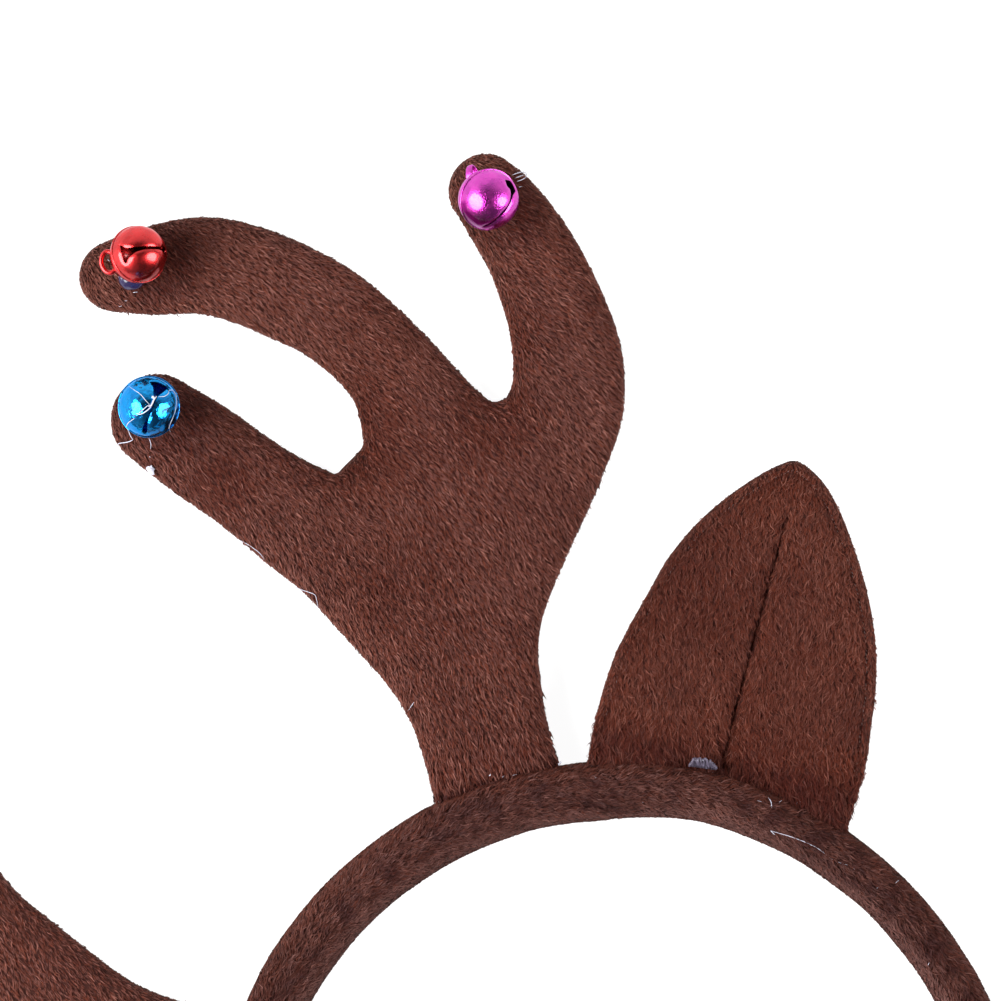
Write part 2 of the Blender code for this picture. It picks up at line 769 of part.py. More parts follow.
def build():
    clear_scene()
    plush = make_material("brown_plush", PLUSH_SRGB, 0.9)
    ear_plush = make_material("brown_ear_plush", EAR_SRGB, 0.9)
    glue = make_material("clear_glue", (0.82, 0.82, 0.86), 0.25)

    add_object("headband", band_mesh(plush))

    side = antler_side(antler_chains())
    meshes = {"antler": antler_mesh(side, plush), "ear": ear_mesh(ear_plush)}
    places = {"antler": (ANTLER_DEG, ANTLER_FOOT_R), "ear": (EAR_DEG, EAR_FOOT_R)}
    pieces = {}
    for kind, mesh in meshes.items():
        for hand, sign in (("right", 1), ("left", -1)):
            shape = mesh if sign > 0 else mirrored(mesh, kind + "_mirror")
            pieces[kind, sign] = add_object(kind + "_" + hand, shape,
                                            matrix=foot_matrix(*places[kind], sign))

    bell = bell_mesh("bell")
    side = thin_out(side, 1.5 * MM, 0.8 * MM, 10.0)
    for name, x, y, stand, maz, mel, saz, sel, srgb in BELLS:
        metal = make_material("bell_metal_" + name, srgb, 0.22, 1.0)
        shape = bell.copy()
        shape.name = "bell_" + name
        shape.materials.clear()
        shape.materials.append(metal)
        place = np.array([[x * MM, y * MM]])
        centre = Vector((x * MM, y * MM, antler_top(place, side)[0] + stand * MM))
        dab = dab_mesh("glue_" + name, centre, side, mel > 60.0, glue)
        for hand, sign in (("right", 1), ("left", -1)):
            flip = Vector((sign, 1, 1))
            matrix = bell_matrix(centre * flip, direction(maz, mel) * flip,
                                 direction(saz, sel) * flip)
            add_object("bell_%s_%s" % (name, hand), shape, pieces["antler", sign], matrix)
            blob = dab if sign > 0 else mirrored(dab, dab.name + "_mirror")
            add_object("glue_%s_%s" % (name, hand), blob, pieces["antler", sign])
    bpy.context.view_layer.update()


build()
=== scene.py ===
"""Looks of the reindeer antler headband: plush pile, padded forms, jingle bells,
glue, stitching, floor, light and camera."""

import math

import bpy
import numpy as np
from mathutils import Matrix, Vector, kdtree
from mathutils.geometry import delaunay_2d_cdt


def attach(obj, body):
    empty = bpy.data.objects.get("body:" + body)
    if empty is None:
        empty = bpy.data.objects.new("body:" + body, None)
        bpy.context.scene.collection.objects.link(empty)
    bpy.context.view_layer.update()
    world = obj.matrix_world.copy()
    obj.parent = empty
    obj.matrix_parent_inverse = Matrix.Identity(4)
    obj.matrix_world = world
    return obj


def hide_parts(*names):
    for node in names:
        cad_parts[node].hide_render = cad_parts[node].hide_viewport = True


MM = 0.001

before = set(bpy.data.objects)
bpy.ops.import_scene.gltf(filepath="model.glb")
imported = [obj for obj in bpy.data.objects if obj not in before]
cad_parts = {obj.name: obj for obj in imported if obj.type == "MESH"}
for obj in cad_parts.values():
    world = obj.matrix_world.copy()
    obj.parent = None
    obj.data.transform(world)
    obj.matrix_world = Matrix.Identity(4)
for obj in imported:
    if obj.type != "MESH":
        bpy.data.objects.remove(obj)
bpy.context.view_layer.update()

# ------------------------------------------------------------- the part's form
ARC_Y = -48.05 * MM
BAND_OUTER_R = 67.4 * MM
BAND_DEPTH = 12.0 * MM
ARC_HALF_DEG = 111.0
LEG_LENGTH = 50.0 * MM
LEG_BEND_R = 250.0 * MM
CAP_LENGTH = 4.2 * MM
BAND_SKIN_IN = 0.22 * MM        # base surface inside the pile's outer form

ANTLER_DEG = 30.1
ANTLER_FOOT_R = 66.9 * MM
ANTLER_HALF = 3.75 * MM
ANTLER_ROUND = 6.0 * MM
ANTLER_DROOP = (10.0 * MM, 62.0 * MM)
CROTCH_BLEND = 1.0 * MM
ANTLER_SKIN_IN = 0.08 * MM      # base outline inside the strokes' outline

EAR_DEG = 61.8
EAR_FOOT_R = 67.5 * MM
EAR_SKIN_IN = -0.04 * MM

BELL_R = 4.8 * MM
BELL_CRIMP_R = 5.1 * MM
LOOP_CENTRE = 5.9 * MM

BAND_THICKNESS = [
    # angle_deg, thickness_mm
    (0.0, 9.9), (44.0, 9.9), (56.0, 8.6), (111.0, 8.4),
]

# Where the overlap seam runs on the band's front, inward of its middle.
BAND_SEAM = [
    # angle_deg, across_mm, groove_depth_mm
    (-111.0, -0.9, 0.15), (-60.0, -1.2, 0.15), (-20.0, -0.9, 0.15), (0.0, -1.3, 0.10),
    (20.0, -1.6, 0.10), (36.0, -1.9, 0.25), (40.5, -1.9, 1.3), (43.5, -2.2, 1.3),
    (45.2, -3.0, 1.2), (47.0, -3.1, 0.5), (50.0, -2.4, 0.2), (57.0, -1.3, 0.2), (62.0, -0.7, 0.2),
    (71.0, -0.6, 0.2), (80.0, -1.7, 0.15), (111.0, -1.2, 0.12),
]

ANTLER_STROKES = {
    "trunk": [
        # x_mm, y_mm, half_width_mm
        (-0.6, -2.5, 10.8), (-0.4, 6.5, 10.6), (0.0, 15.0, 11.2), (0.1, 20.5, 12.0),
        (-0.6, 28.0, 14.4), (0.5, 39.5, 20.0),
    ],
    "red_tine": [
        (0.5, 39.5, 20.0), (5.5, 51.0, 14.0), (5.0, 60.0, 10.3), (2.5, 70.5, 8.0),
        (-3.5, 81.0, 7.9), (-9.5, 87.2, 8.2), (-16.0, 92.5, 8.2), (-22.5, 96.0, 8.0),
        (-30.5, 97.5, 7.3), (-36.8, 98.5, 5.8),
    ],
    "blue_tine": [
        (0.5, 39.5, 20.0), (-12.0, 44.5, 11.2), (-18.8, 50.8, 9.2), (-25.0, 58.5, 8.2),
        (-31.5, 66.8, 8.2), (-37.0, 73.7, 7.6),
    ],
    "pink_tine": [
        (0.5, 39.5, 20.0), (14.8, 46.2, 14.0), (23.0, 50.5, 10.5), (28.5, 56.5, 9.5),
        (31.0, 64.0, 9.0), (31.3, 72.5, 8.2), (30.3, 81.5, 7.5), (28.0, 89.5, 6.9),
        (26.0, 94.2, 6.1),
    ],
}

EAR_SECTIONS = [
    # y_mm, left_x_mm, right_x_mm
    (-6.5, -21.7, 22.0), (0.0, -22.3, 22.2), (7.0, -22.6, 22.4), (14.0, -22.2, 21.6),
    (20.0, -21.0, 20.8), (26.0, -19.4, 19.3), (32.0, -17.8, 17.0), (38.0, -15.1, 13.8),
    (42.5, -12.3, 10.9), (46.0, -9.6, 8.4), (49.0, -6.9, 5.8), (51.5, -4.2, 2.8),
]
EAR_TIP = (-1.3, 53.1)

# Centre crease of the ear, a fold line in its own frame.
EAR_CREASE = [
    # y_mm, x_mm, depth_mm
    (2.0, -0.5, 1.3), (8.0, -0.6, 1.3), (14.0, -0.7, 1.25), (20.0, -0.7, 1.2), (26.0, -0.75, 1.1),
    (32.0, -0.6, 1.05), (38.0, -0.5, 0.95), (42.5, -0.5, 0.65), (45.5, -0.5, 0.0),
]

EAR_PROFILE = [
    # inset_mm, half_thickness_mm
    (0.0, 0.0), (0.3, 0.6), (0.8, 0.85), (1.3, 0.85), (1.6, 0.6), (1.9, 0.9), (2.6, 1.2),
    (4.5, 1.6), (8.0, 1.75), (30.0, 1.75),
]

# Bells: centre in the antler's frame and height over the plush.
BELLS = [
    # name, x_mm, y_mm, stand_mm
    ("red", -31.7, 100.4, 6.3), ("blue", -37.25, 75.9, 8.2), ("pink", 26.0, 92.35, 6.3),
]

# How each bell lies, as directions to the right, up the picture and towards the viewer:
# the mouth's axis and the slit; then how far it is off its nominal size.
BELL_POSE = {
    # name: mouth, slit, size
    "red": ((0.44, 0.25, 0.86), (0.89, -0.02, -0.45), 0.985),
    "blue": ((0.03, 0.02, 1.0), (0.32, 0.947, 0.0), 1.03),
    "pink": ((0.42, -0.20, 0.885), (0.50, 0.80, -0.06), 1.04),
}

# The loops on the bells' backs, bent over by hand.
BELL_LOOP = {
    # name: middle_mm, outwards, across the strip, half-spans_mm, strip_mm, sheet_mm, flare
    "red": ((-4.85, -1.25, -0.9), (-0.95, -0.22, -0.12), (-0.22, 0.08, 0.97), (1.78, 1.24), 0.85,
            0.78, 0.0),
    "blue": ((0.3, -0.6, -5.9), (0.05, -0.1, -1.0), (0.8, 0.5, 0.1), (1.85, 1.95), 0.8, 0.44, 0.0),
    "pink": ((-2.50, 3.85, -2.3), (-0.21, 0.95, -0.20), (0.88, 0.22, 0.40), (1.30, 1.75), 0.95, 0.40,
             1.25),
}

# Opening pressed in each mouth: a slit with a hole at its ends, on the flattened shell.
BELL_HOLES = {
    # name: (across_mm, along_mm) round it
    "red": [
        (-1.26, -5.41), (0.36, -5.26), (1.74, -5.05), (2.87, -4.49), (1.75, -3.71), (1.20, -3.07),
        (0.81, -2.44), (0.51, -1.20), (0.39, 0.38), (0.30, 1.97), (0.45, 3.2), (0.90, 4.3),
        (0.90, 5.0), (0.30, 5.3), (-0.50, 5.1), (-0.75, 4.3), (-0.50, 3.2), (-0.30, 2.23),
        (-0.19, 0.14), (-0.16, -1.88), (-0.14, -3.07), (-0.22, -4.11), (-0.69, -4.74),
    ],
    "blue": [
        (-1.32, 4.65), (-0.38, 3.50), (0.06, 2.28), (0.41, 1.58), (0.41, 0.50), (0.36, -0.71),
        (0.28, -1.97), (0.22, -3.38), (0.20, -4.46), (0.35, -5.2), (0.80, -5.6), (1.25, -5.3),
        (1.25, -4.6), (0.98, -3.88), (0.75, -2.56), (0.71, -1.28), (0.77, -0.06), (0.84, 1.08),
        (0.94, 1.98), (1.20, 2.52), (1.60, 3.14), (2.53, 4.99), (1.52, 5.22), (0.47, 5.18),
        (-0.52, 4.96),
    ],
    "pink": [
        (-0.79, 4.67), (-0.22, 3.59), (0.66, 3.21), (1.17, 2.00), (1.34, 0.66), (1.04, -0.97),
        (1.05, -3.10), (0.89, -4.99), (1.28, -5.43), (1.30, -3.51), (1.36, -1.79), (1.60, -0.27),
        (1.66, 1.20), (1.60, 2.17), (1.76, 2.91), (2.46, 4.06), (2.14, 4.42), (0.91, 5.36),
    ],
}

# The photograph's frame on the part: pixel of the band's centre, scale, turn.
PHOTO_CENTRE = (618.0, 1170.0)
PHOTO_MM = 0.165
IMAGE_RIGHT = Vector((0.682, -0.731, 0.0))
IMAGE_UP = Vector((0.731, 0.682, 0.0))


def picture(p):
    """Place in the photograph's pixels, across and down, of points on the part."""
    x, y = p[:, 0], p[:, 1] - ARC_Y
    across = x * IMAGE_RIGHT.x + y * IMAGE_RIGHT.y
    up = x * IMAGE_UP.x + y * IMAGE_UP.y
    return PHOTO_CENTRE[0] + across / (PHOTO_MM * MM), PHOTO_CENTRE[1] - up / (PHOTO_MM * MM)


def photo_xy(px, py):
    dx = (px - PHOTO_CENTRE[0]) * PHOTO_MM * MM
    dy = -(py - PHOTO_CENTRE[1]) * PHOTO_MM * MM
    return (dx * IMAGE_RIGHT.x + dy * IMAGE_UP.x, dx * IMAGE_RIGHT.y + dy * IMAGE_UP.y + ARC_Y)


# --------------------------------------------------------------------- helpers
def smoothstep(x, low, high):
    t = np.clip((x - low) / (high - low), 0.0, 1.0)
    return t * t * (3.0 - 2.0 * t)


def column(table, i):
    return [row[i] for row in table]


def unit(v):
    return v / np.maximum(np.linalg.norm(v, axis=-1, keepdims=True), 1e-12)


def spline(rows, steps):
    rows = [np.array(r, float) for r in rows]
    out = []
    for i in range(len(rows) - 1):
        p0, p1 = rows[max(i - 1, 0)], rows[i]
        p2, p3 = rows[i + 1], rows[min(i + 2, len(rows) - 1)]
        for j in range(steps):
            t = j / steps
            out.append(0.5 * (2 * p1 + (p2 - p0) * t + (2 * p0 - 5 * p1 + 4 * p2 - p3) * t * t
                              + (3 * p1 - p0 - 3 * p2 + p3) * t ** 3))
    out.append(rows[-1])
    return np.array(out)


class Noise:
    """Smooth value noise on a repeating lattice, from -1 to 1."""

    def __init__(self, seed):
        self.table = np.random.default_rng(seed).random((32, 32, 32)) * 2 - 1

    def __call__(self, p, cell):
        q = p / cell
        if q.shape[1] == 2:
            q = np.column_stack([q, np.zeros(len(q))])
        i = np.floor(q).astype(int)
        f = q - i
        f = f * f * (3 - 2 * f)
        out = np.zeros(len(q))
        for dx in (0, 1):
            wx = f[:, 0] if dx else 1 - f[:, 0]
            for dy in (0, 1):
                wy = f[:, 1] if dy else 1 - f[:, 1]
                for dz in (0, 1):
                    wz = f[:, 2] if dz else 1 - f[:, 2]
                    out += wx * wy * wz * self.table[(i[:, 0] + dx) & 31, (i[:, 1] + dy) & 31,
                                                     (i[:, 2] + dz) & 31]
        return out


def polyline_distance(points, line):
    best = np.full(len(points), 1e9)
    for a, b in zip(line[:-1], line[1:]):
        ab = b - a
        t = np.clip((points - a) @ ab / max(ab @ ab, 1e-18), 0.0, 1.0)
        best = np.minimum(best, np.hypot(*(points - a - t[:, None] * ab).T))
    return best


def inside(points, polygon):
    x, y = points[:, 0], points[:, 1]
    hit = np.zeros(len(points), bool)
    for (x0, y0), (x1, y1) in zip(polygon, np.roll(polygon, -1, axis=0)):
        if y0 != y1:
            hit ^= ((y0 > y) != (y1 > y)) & (x < (x1 - x0) * (y - y0) / (y1 - y0) + x0)
    return hit


def resample(line, spacing):
    run = np.concatenate([[0], np.cumsum(np.hypot(*np.diff(line, axis=0).T))])
    n = max(2, int(round(run[-1] / spacing)) + 1)
    s = np.linspace(0, run[-1], n)
    return np.column_stack([np.interp(s, run, line[:, 0]), np.interp(s, run, line[:, 1])])


def thin_points(points, clear, kept):
    """Drop points nearer than their own clearance to one already kept."""
    size = float(np.max(clear))
    cells = {}
    for p in kept:
        cells.setdefault((int(p[0] // size), int(p[1] // size)), []).append(p)
    out = []
    for p, c in zip(points, clear):
        cx, cy = int(p[0] // size), int(p[1] // size)
        near = False
        for i in (-1, 0, 1):
            for j in (-1, 0, 1):
                for q in cells.get((cx + i, cy + j), ()):
                    if (p[0] - q[0]) ** 2 + (p[1] - q[1]) ** 2 < c * c:
                        near = True
                        break
                if near:
                    break
            if near:
                break
        if not near:
            cells.setdefault((cx, cy), []).append(p)
            out.append(p)
    return out


def fast_mesh(name, verts, tris, uv=None, smooth=True):
    mesh = bpy.data.meshes.new(name)
    mesh.vertices.add(len(verts))
    mesh.vertices.foreach_set("co", np.asarray(verts, np.float32).ravel())
    mesh.loops.add(len(tris) * 3)
    mesh.loops.foreach_set("vertex_index", np.asarray(tris, np.int32).ravel())
    mesh.polygons.add(len(tris))
    mesh.polygons.foreach_set("loop_start", np.arange(0, len(tris) * 3, 3, dtype=np.int32))
    mesh.update(calc_edges=True)
    if uv is not None:
        layer = mesh.uv_layers.new(name="OFBake")
        layer.data.foreach_set("uv", np.asarray(uv, np.float32)[np.asarray(tris).ravel()].ravel())
    if smooth:
        mesh.shade_smooth()
    return mesh


def add_object(name, mesh, material):
    obj = bpy.data.objects.new(name, mesh)
    bpy.context.scene.collection.objects.link(obj)
    if material is not None:
        mesh.materials.append(material)
    return obj


def vertex_normals(verts, tris):
    a, b, c = verts[tris[:, 0]], verts[tris[:, 1]], verts[tris[:, 2]]
    n = np.cross(b - a, c - a)
    out = np.zeros_like(verts)
    for i in range(3):
        np.add.at(out, tris[:, i], n)
    return unit(out)


def foot_matrix(deg, radius, sign):
    a = math.radians(deg)
    place = Vector((sign * radius * math.sin(a), ARC_Y + radius * math.cos(a), 0.0))
    return Matrix.Translation(place) @ Matrix.Rotation(-sign * a, 4, "Z")


def moved(points, matrix):
    m = np.array(matrix)
    return points @ m[:3, :3].T + m[:3, 3]


# ------------------------------------------------------------------- materials
class Nodes:
    """Small helper to wire a material's nodes."""

    def __init__(self, name):
        self.mat = bpy.data.materials.new(name)
        self.mat.use_nodes = True
        self.tree = self.mat.node_tree
        self.shader = self.tree.nodes["Principled BSDF"]

    def node(self, kind, **values):
        n = self.tree.nodes.new(kind)
        for key, value in values.items():
            setattr(n, key, value)
        return n

    def link(self, a, b):
        self.tree.links.new(a, b)

    def put(self, **values):
        for key, value in values.items():
            self.shader.inputs[key.replace("_", " ")].default_value = value

    def noise(self, scale, detail=2.0, rough=0.5, where=None):
        n = self.node("ShaderNodeTexNoise")
        n.inputs["Scale"].default_value = scale
        n.inputs["Detail"].default_value = detail
        n.inputs["Roughness"].default_value = rough
        if where is not None:
            self.link(where, n.inputs["Vector"])
        return n

    def ramp(self, source, stops):
        r = self.node("ShaderNodeValToRGB")
        e = r.color_ramp.elements
        e[0].position, e[1].position = stops[0][0], stops[-1][0]
        for pos, colour in stops[1:-1]:
            e.new(pos)
        for i, (pos, colour) in enumerate(stops):
            e[i].color = (*colour, 1.0)
        self.link(source, r.inputs["Fac"])
        return r.outputs["Color"]

    def mix(self, a, b, fac=1.0, kind="MULTIPLY"):
        m = self.node("ShaderNodeMix", data_type="RGBA", blend_type=kind)
        if isinstance(fac, float):
            m.inputs["Factor"].default_value = fac
        else:
            self.link(fac, m.inputs["Factor"])
        for socket, value in ((m.inputs[6], a), (m.inputs[7], b)):
            if isinstance(value, tuple):
                socket.default_value = (*value, 1.0)
            else:
                self.link(value, socket)
        return m.outputs[2]

    def bump(self, height, strength, distance):
        b = self.node("ShaderNodeBump")
        b.inputs["Strength"].default_value = strength
        b.inputs["Distance"].default_value = distance
        self.link(height, b.inputs["Height"])
        self.link(b.outputs["Normal"], self.shader.inputs["Normal"])
        return b


def pile_material(name, mean, gain, sheen):
    """Pile fibre.  Its map gives the tint across u, in three runs from shadow to
    tip: warm, plain and cool; and the way along a fibre in v."""
    runs = [
        [(0.50, 0.27, 0.24), (0.95, 0.72, 0.58), (1.35, 1.08, 0.86), (1.75, 1.60, 1.40)],
        [(0.48, 0.34, 0.40), (1.00, 1.00, 1.00), (1.55, 1.72, 1.80), (2.10, 2.60, 2.90)],
        [(0.48, 0.45, 0.58), (1.02, 1.16, 1.35), (1.50, 1.90, 2.20), (2.10, 2.80, 3.20)],
    ]
    m = Nodes(name)
    uv = m.node("ShaderNodeUVMap", uv_map="OFBake")
    xyz = m.node("ShaderNodeSeparateXYZ")
    m.link(uv.outputs["UV"], xyz.inputs[0])
    stops = []
    for k, run in enumerate(runs):
        for place, tone in zip((0.0, 0.42, 0.78, 0.995), run):
            stops.append(((k + place) / 3,
                          tuple(min(1.0, a * b * gain) for a, b in zip(mean, tone))))
    tint = m.ramp(xyz.outputs["X"], stops)
    along = m.ramp(xyz.outputs["Y"], [(0.0, (0.54, 0.50, 0.50)), (0.45, (0.88, 0.86, 0.86)),
                                      (1.0, (1.05, 1.05, 1.05))])
    m.link(m.mix(tint, along), m.shader.inputs["Base Color"])
    m.put(Roughness=0.65, Specular_IOR_Level=0.13, Sheen_Weight=sheen, Sheen_Roughness=0.35)
    m.shader.inputs["Sheen Tint"].default_value = (0.9, 0.66, 0.60, 1.0)
    return m.mat


def skin_material(name, dark, mid):
    """Knitted ground under the pile."""
    m = Nodes(name)
    where = m.node("ShaderNodeTexCoord").outputs["Object"]
    broad = m.noise(260.0, 3.0, 0.6, where)
    fine = m.noise(1900.0, 3.0, 0.65, where)
    colour = m.ramp(broad.outputs["Fac"], [(0.3, dark), (0.72, mid)])
    shade = m.ramp(fine.outputs["Fac"], [(0.3, (0.6, 0.6, 0.6)), (0.7, (1.15, 1.1, 1.1))])
    m.link(m.mix(colour, shade), m.shader.inputs["Base Color"])
    m.put(Roughness=0.9, Specular_IOR_Level=0.15)
    m.bump(fine.outputs["Fac"], 0.5, 0.0002)
    return m.mat


def metal_material(name, colour, deep, roughness, spots, coat, edge, dents, inside_shade, painted_dark_side, centre,
                   size):
    """Dyed sheet metal under a clear lacquer, faintly mottled and speckled.
    coat is the lacquer's weight, index of refraction and roughness, edge the tint at
    grazing angles, dents the strength of the shallow dents; inside_shade is the tone of
    the painted shade inside the shell, round centre, and painted_dark_side the side darkened as painted shade
    for the dark plush it mirrors."""
    m = Nodes(name)
    where = m.node("ShaderNodeTexCoord").outputs["Object"]
    broad = m.noise(420.0, 3.0, 0.6, where)
    fine = m.noise(4200.0, 1.0, 0.5, where)
    base = m.ramp(broad.outputs["Fac"], [(0.25, deep), (0.6, colour)])
    xyz = m.node("ShaderNodeSeparateXYZ")
    m.link(where, xyz.inputs[0])
    across = m.node("ShaderNodeMath", operation="ABSOLUTE")
    m.link(xyz.outputs["X"], across.inputs[0])
    place = m.node("ShaderNodeCombineXYZ")
    m.link(across.outputs[0], place.inputs["X"])
    m.link(xyz.outputs["Y"], place.inputs["Y"])
    m.link(xyz.outputs["Z"], place.inputs["Z"])
    reach = m.node("ShaderNodeVectorMath", operation="DISTANCE")
    m.link(place.outputs[0], reach.inputs[0])
    reach.inputs[1].default_value = centre
    shell = m.node("ShaderNodeMapRange")
    shell.inputs["From Min"].default_value = (BELL_R - 0.27 * MM) * size
    shell.inputs["From Max"].default_value = (BELL_R - 0.20 * MM) * size
    shell.inputs["To Min"].default_value = 0.0
    shell.inputs["To Max"].default_value = 1.0
    m.link(reach.outputs["Value"], shell.inputs["Value"])
    # painted shade: the inside of the shell is darkened to the given tone
    inside_shade_tone = m.ramp(shell.outputs["Result"], [(0.0, (inside_shade, inside_shade, inside_shade)), (1.0, (1.0, 1.0, 1.0))])
    # painted shade: the colour darkens towards one side, standing in for the dark plush mirrored there
    off = m.node("ShaderNodeVectorMath", operation="SUBTRACT")
    m.link(place.outputs[0], off.inputs[0])
    off.inputs[1].default_value = centre
    lean = m.node("ShaderNodeVectorMath", operation="DOT_PRODUCT")
    m.link(off.outputs[0], lean.inputs[0])
    lean.inputs[1].default_value = seen(painted_dark_side[0]) / (BELL_R * size)
    dark_side_tone = m.ramp(lean.outputs["Value"], [(0.0, (1.0, 1.0, 1.0)), (painted_dark_side[1], (1.0, 1.0, 1.0)),
                                            (painted_dark_side[2], painted_dark_side[3]), (1.0, painted_dark_side[3])])
    m.link(m.mix(m.mix(base, inside_shade_tone), dark_side_tone), m.shader.inputs["Base Color"])
    rough = m.node("ShaderNodeMapRange")
    rough.inputs["From Min"].default_value = 0.3
    rough.inputs["From Max"].default_value = 0.75
    rough.inputs["To Min"].default_value = roughness * 0.75
    rough.inputs["To Max"].default_value = roughness * 1.6
    m.link(broad.outputs["Fac"], rough.inputs["Value"])
    m.link(rough.outputs["Result"], m.shader.inputs["Roughness"])
    m.put(Metallic=1.0, Coat_Weight=coat[0], Coat_IOR=coat[1], Coat_Roughness=coat[2])
    m.shader.inputs["Specular Tint"].default_value = (*edge, 1.0)
    speckle = m.bump(fine.outputs["Fac"], spots, 0.00006)
    if dents:
        wide = m.noise(520.0, 2.0, 0.55, where)
        shallow = m.node("ShaderNodeBump")
        shallow.inputs["Strength"].default_value = dents
        shallow.inputs["Distance"].default_value = 0.0006
        m.link(wide.outputs["Fac"], shallow.inputs["Height"])
        m.link(shallow.outputs["Normal"], speckle.inputs["Normal"])
    return m.mat


def glue_material(name, tint, alpha, roughness=0.12):
    m = Nodes(name)
    where = m.node("ShaderNodeTexCoord").outputs["Object"]
    cloud = m.noise(700.0, 3.0, 0.6, where)
    pale = tuple(min(1.0, c * 1.3 + 0.004) for c in tint)
    m.link(m.ramp(cloud.outputs["Fac"], [(0.3, tint), (0.75, pale)]), m.shader.inputs["Base Color"])
    m.put(Roughness=roughness, Specular_IOR_Level=0.6, Alpha=alpha)
    m.bump(cloud.outputs["Fac"], 0.4, 0.0001)
    return m.mat


# ------------------------------------------------------------------ pile fibre
CURL = Noise(11)
WAVE = Noise(12)
BROAD = Noise(13)
PATCH = Noise(14)
BREAK = Noise(15)


def knit(p, theta, spacing, pitch, wander, seed):
    """Knitted rows that tufts stand in, along a direction turning down the picture.
    Gives the place across a row from -1/2 to 1/2 of it, and how open the gap is."""
    px, py = picture(p)
    steps = np.arange(-400.0, 2600.0, 2.0)
    run = np.concatenate([[0.0], np.cumsum(2.0 / np.tan(theta(steps[:-1])))])
    phase = (px - np.interp(py, steps, run)) / spacing
    phase = phase + wander * BROAD(p, 5.5 * MM) + 0.14 * WAVE(p, 1.5 * MM)
    gap = np.floor(phase)
    table = np.random.default_rng(seed).random(4096)
    along = py / pitch + table[gap.astype(int) & 4095] + 0.35 * BREAK(p, 3.0 * MM)
    size = 0.5 + 0.5 * np.cos(2 * math.pi * along)
    weak = 0.30 * BREAK(p + 0.31, 2.2 * MM)
    return phase, smoothstep(size + weak, 0.16, 0.50)


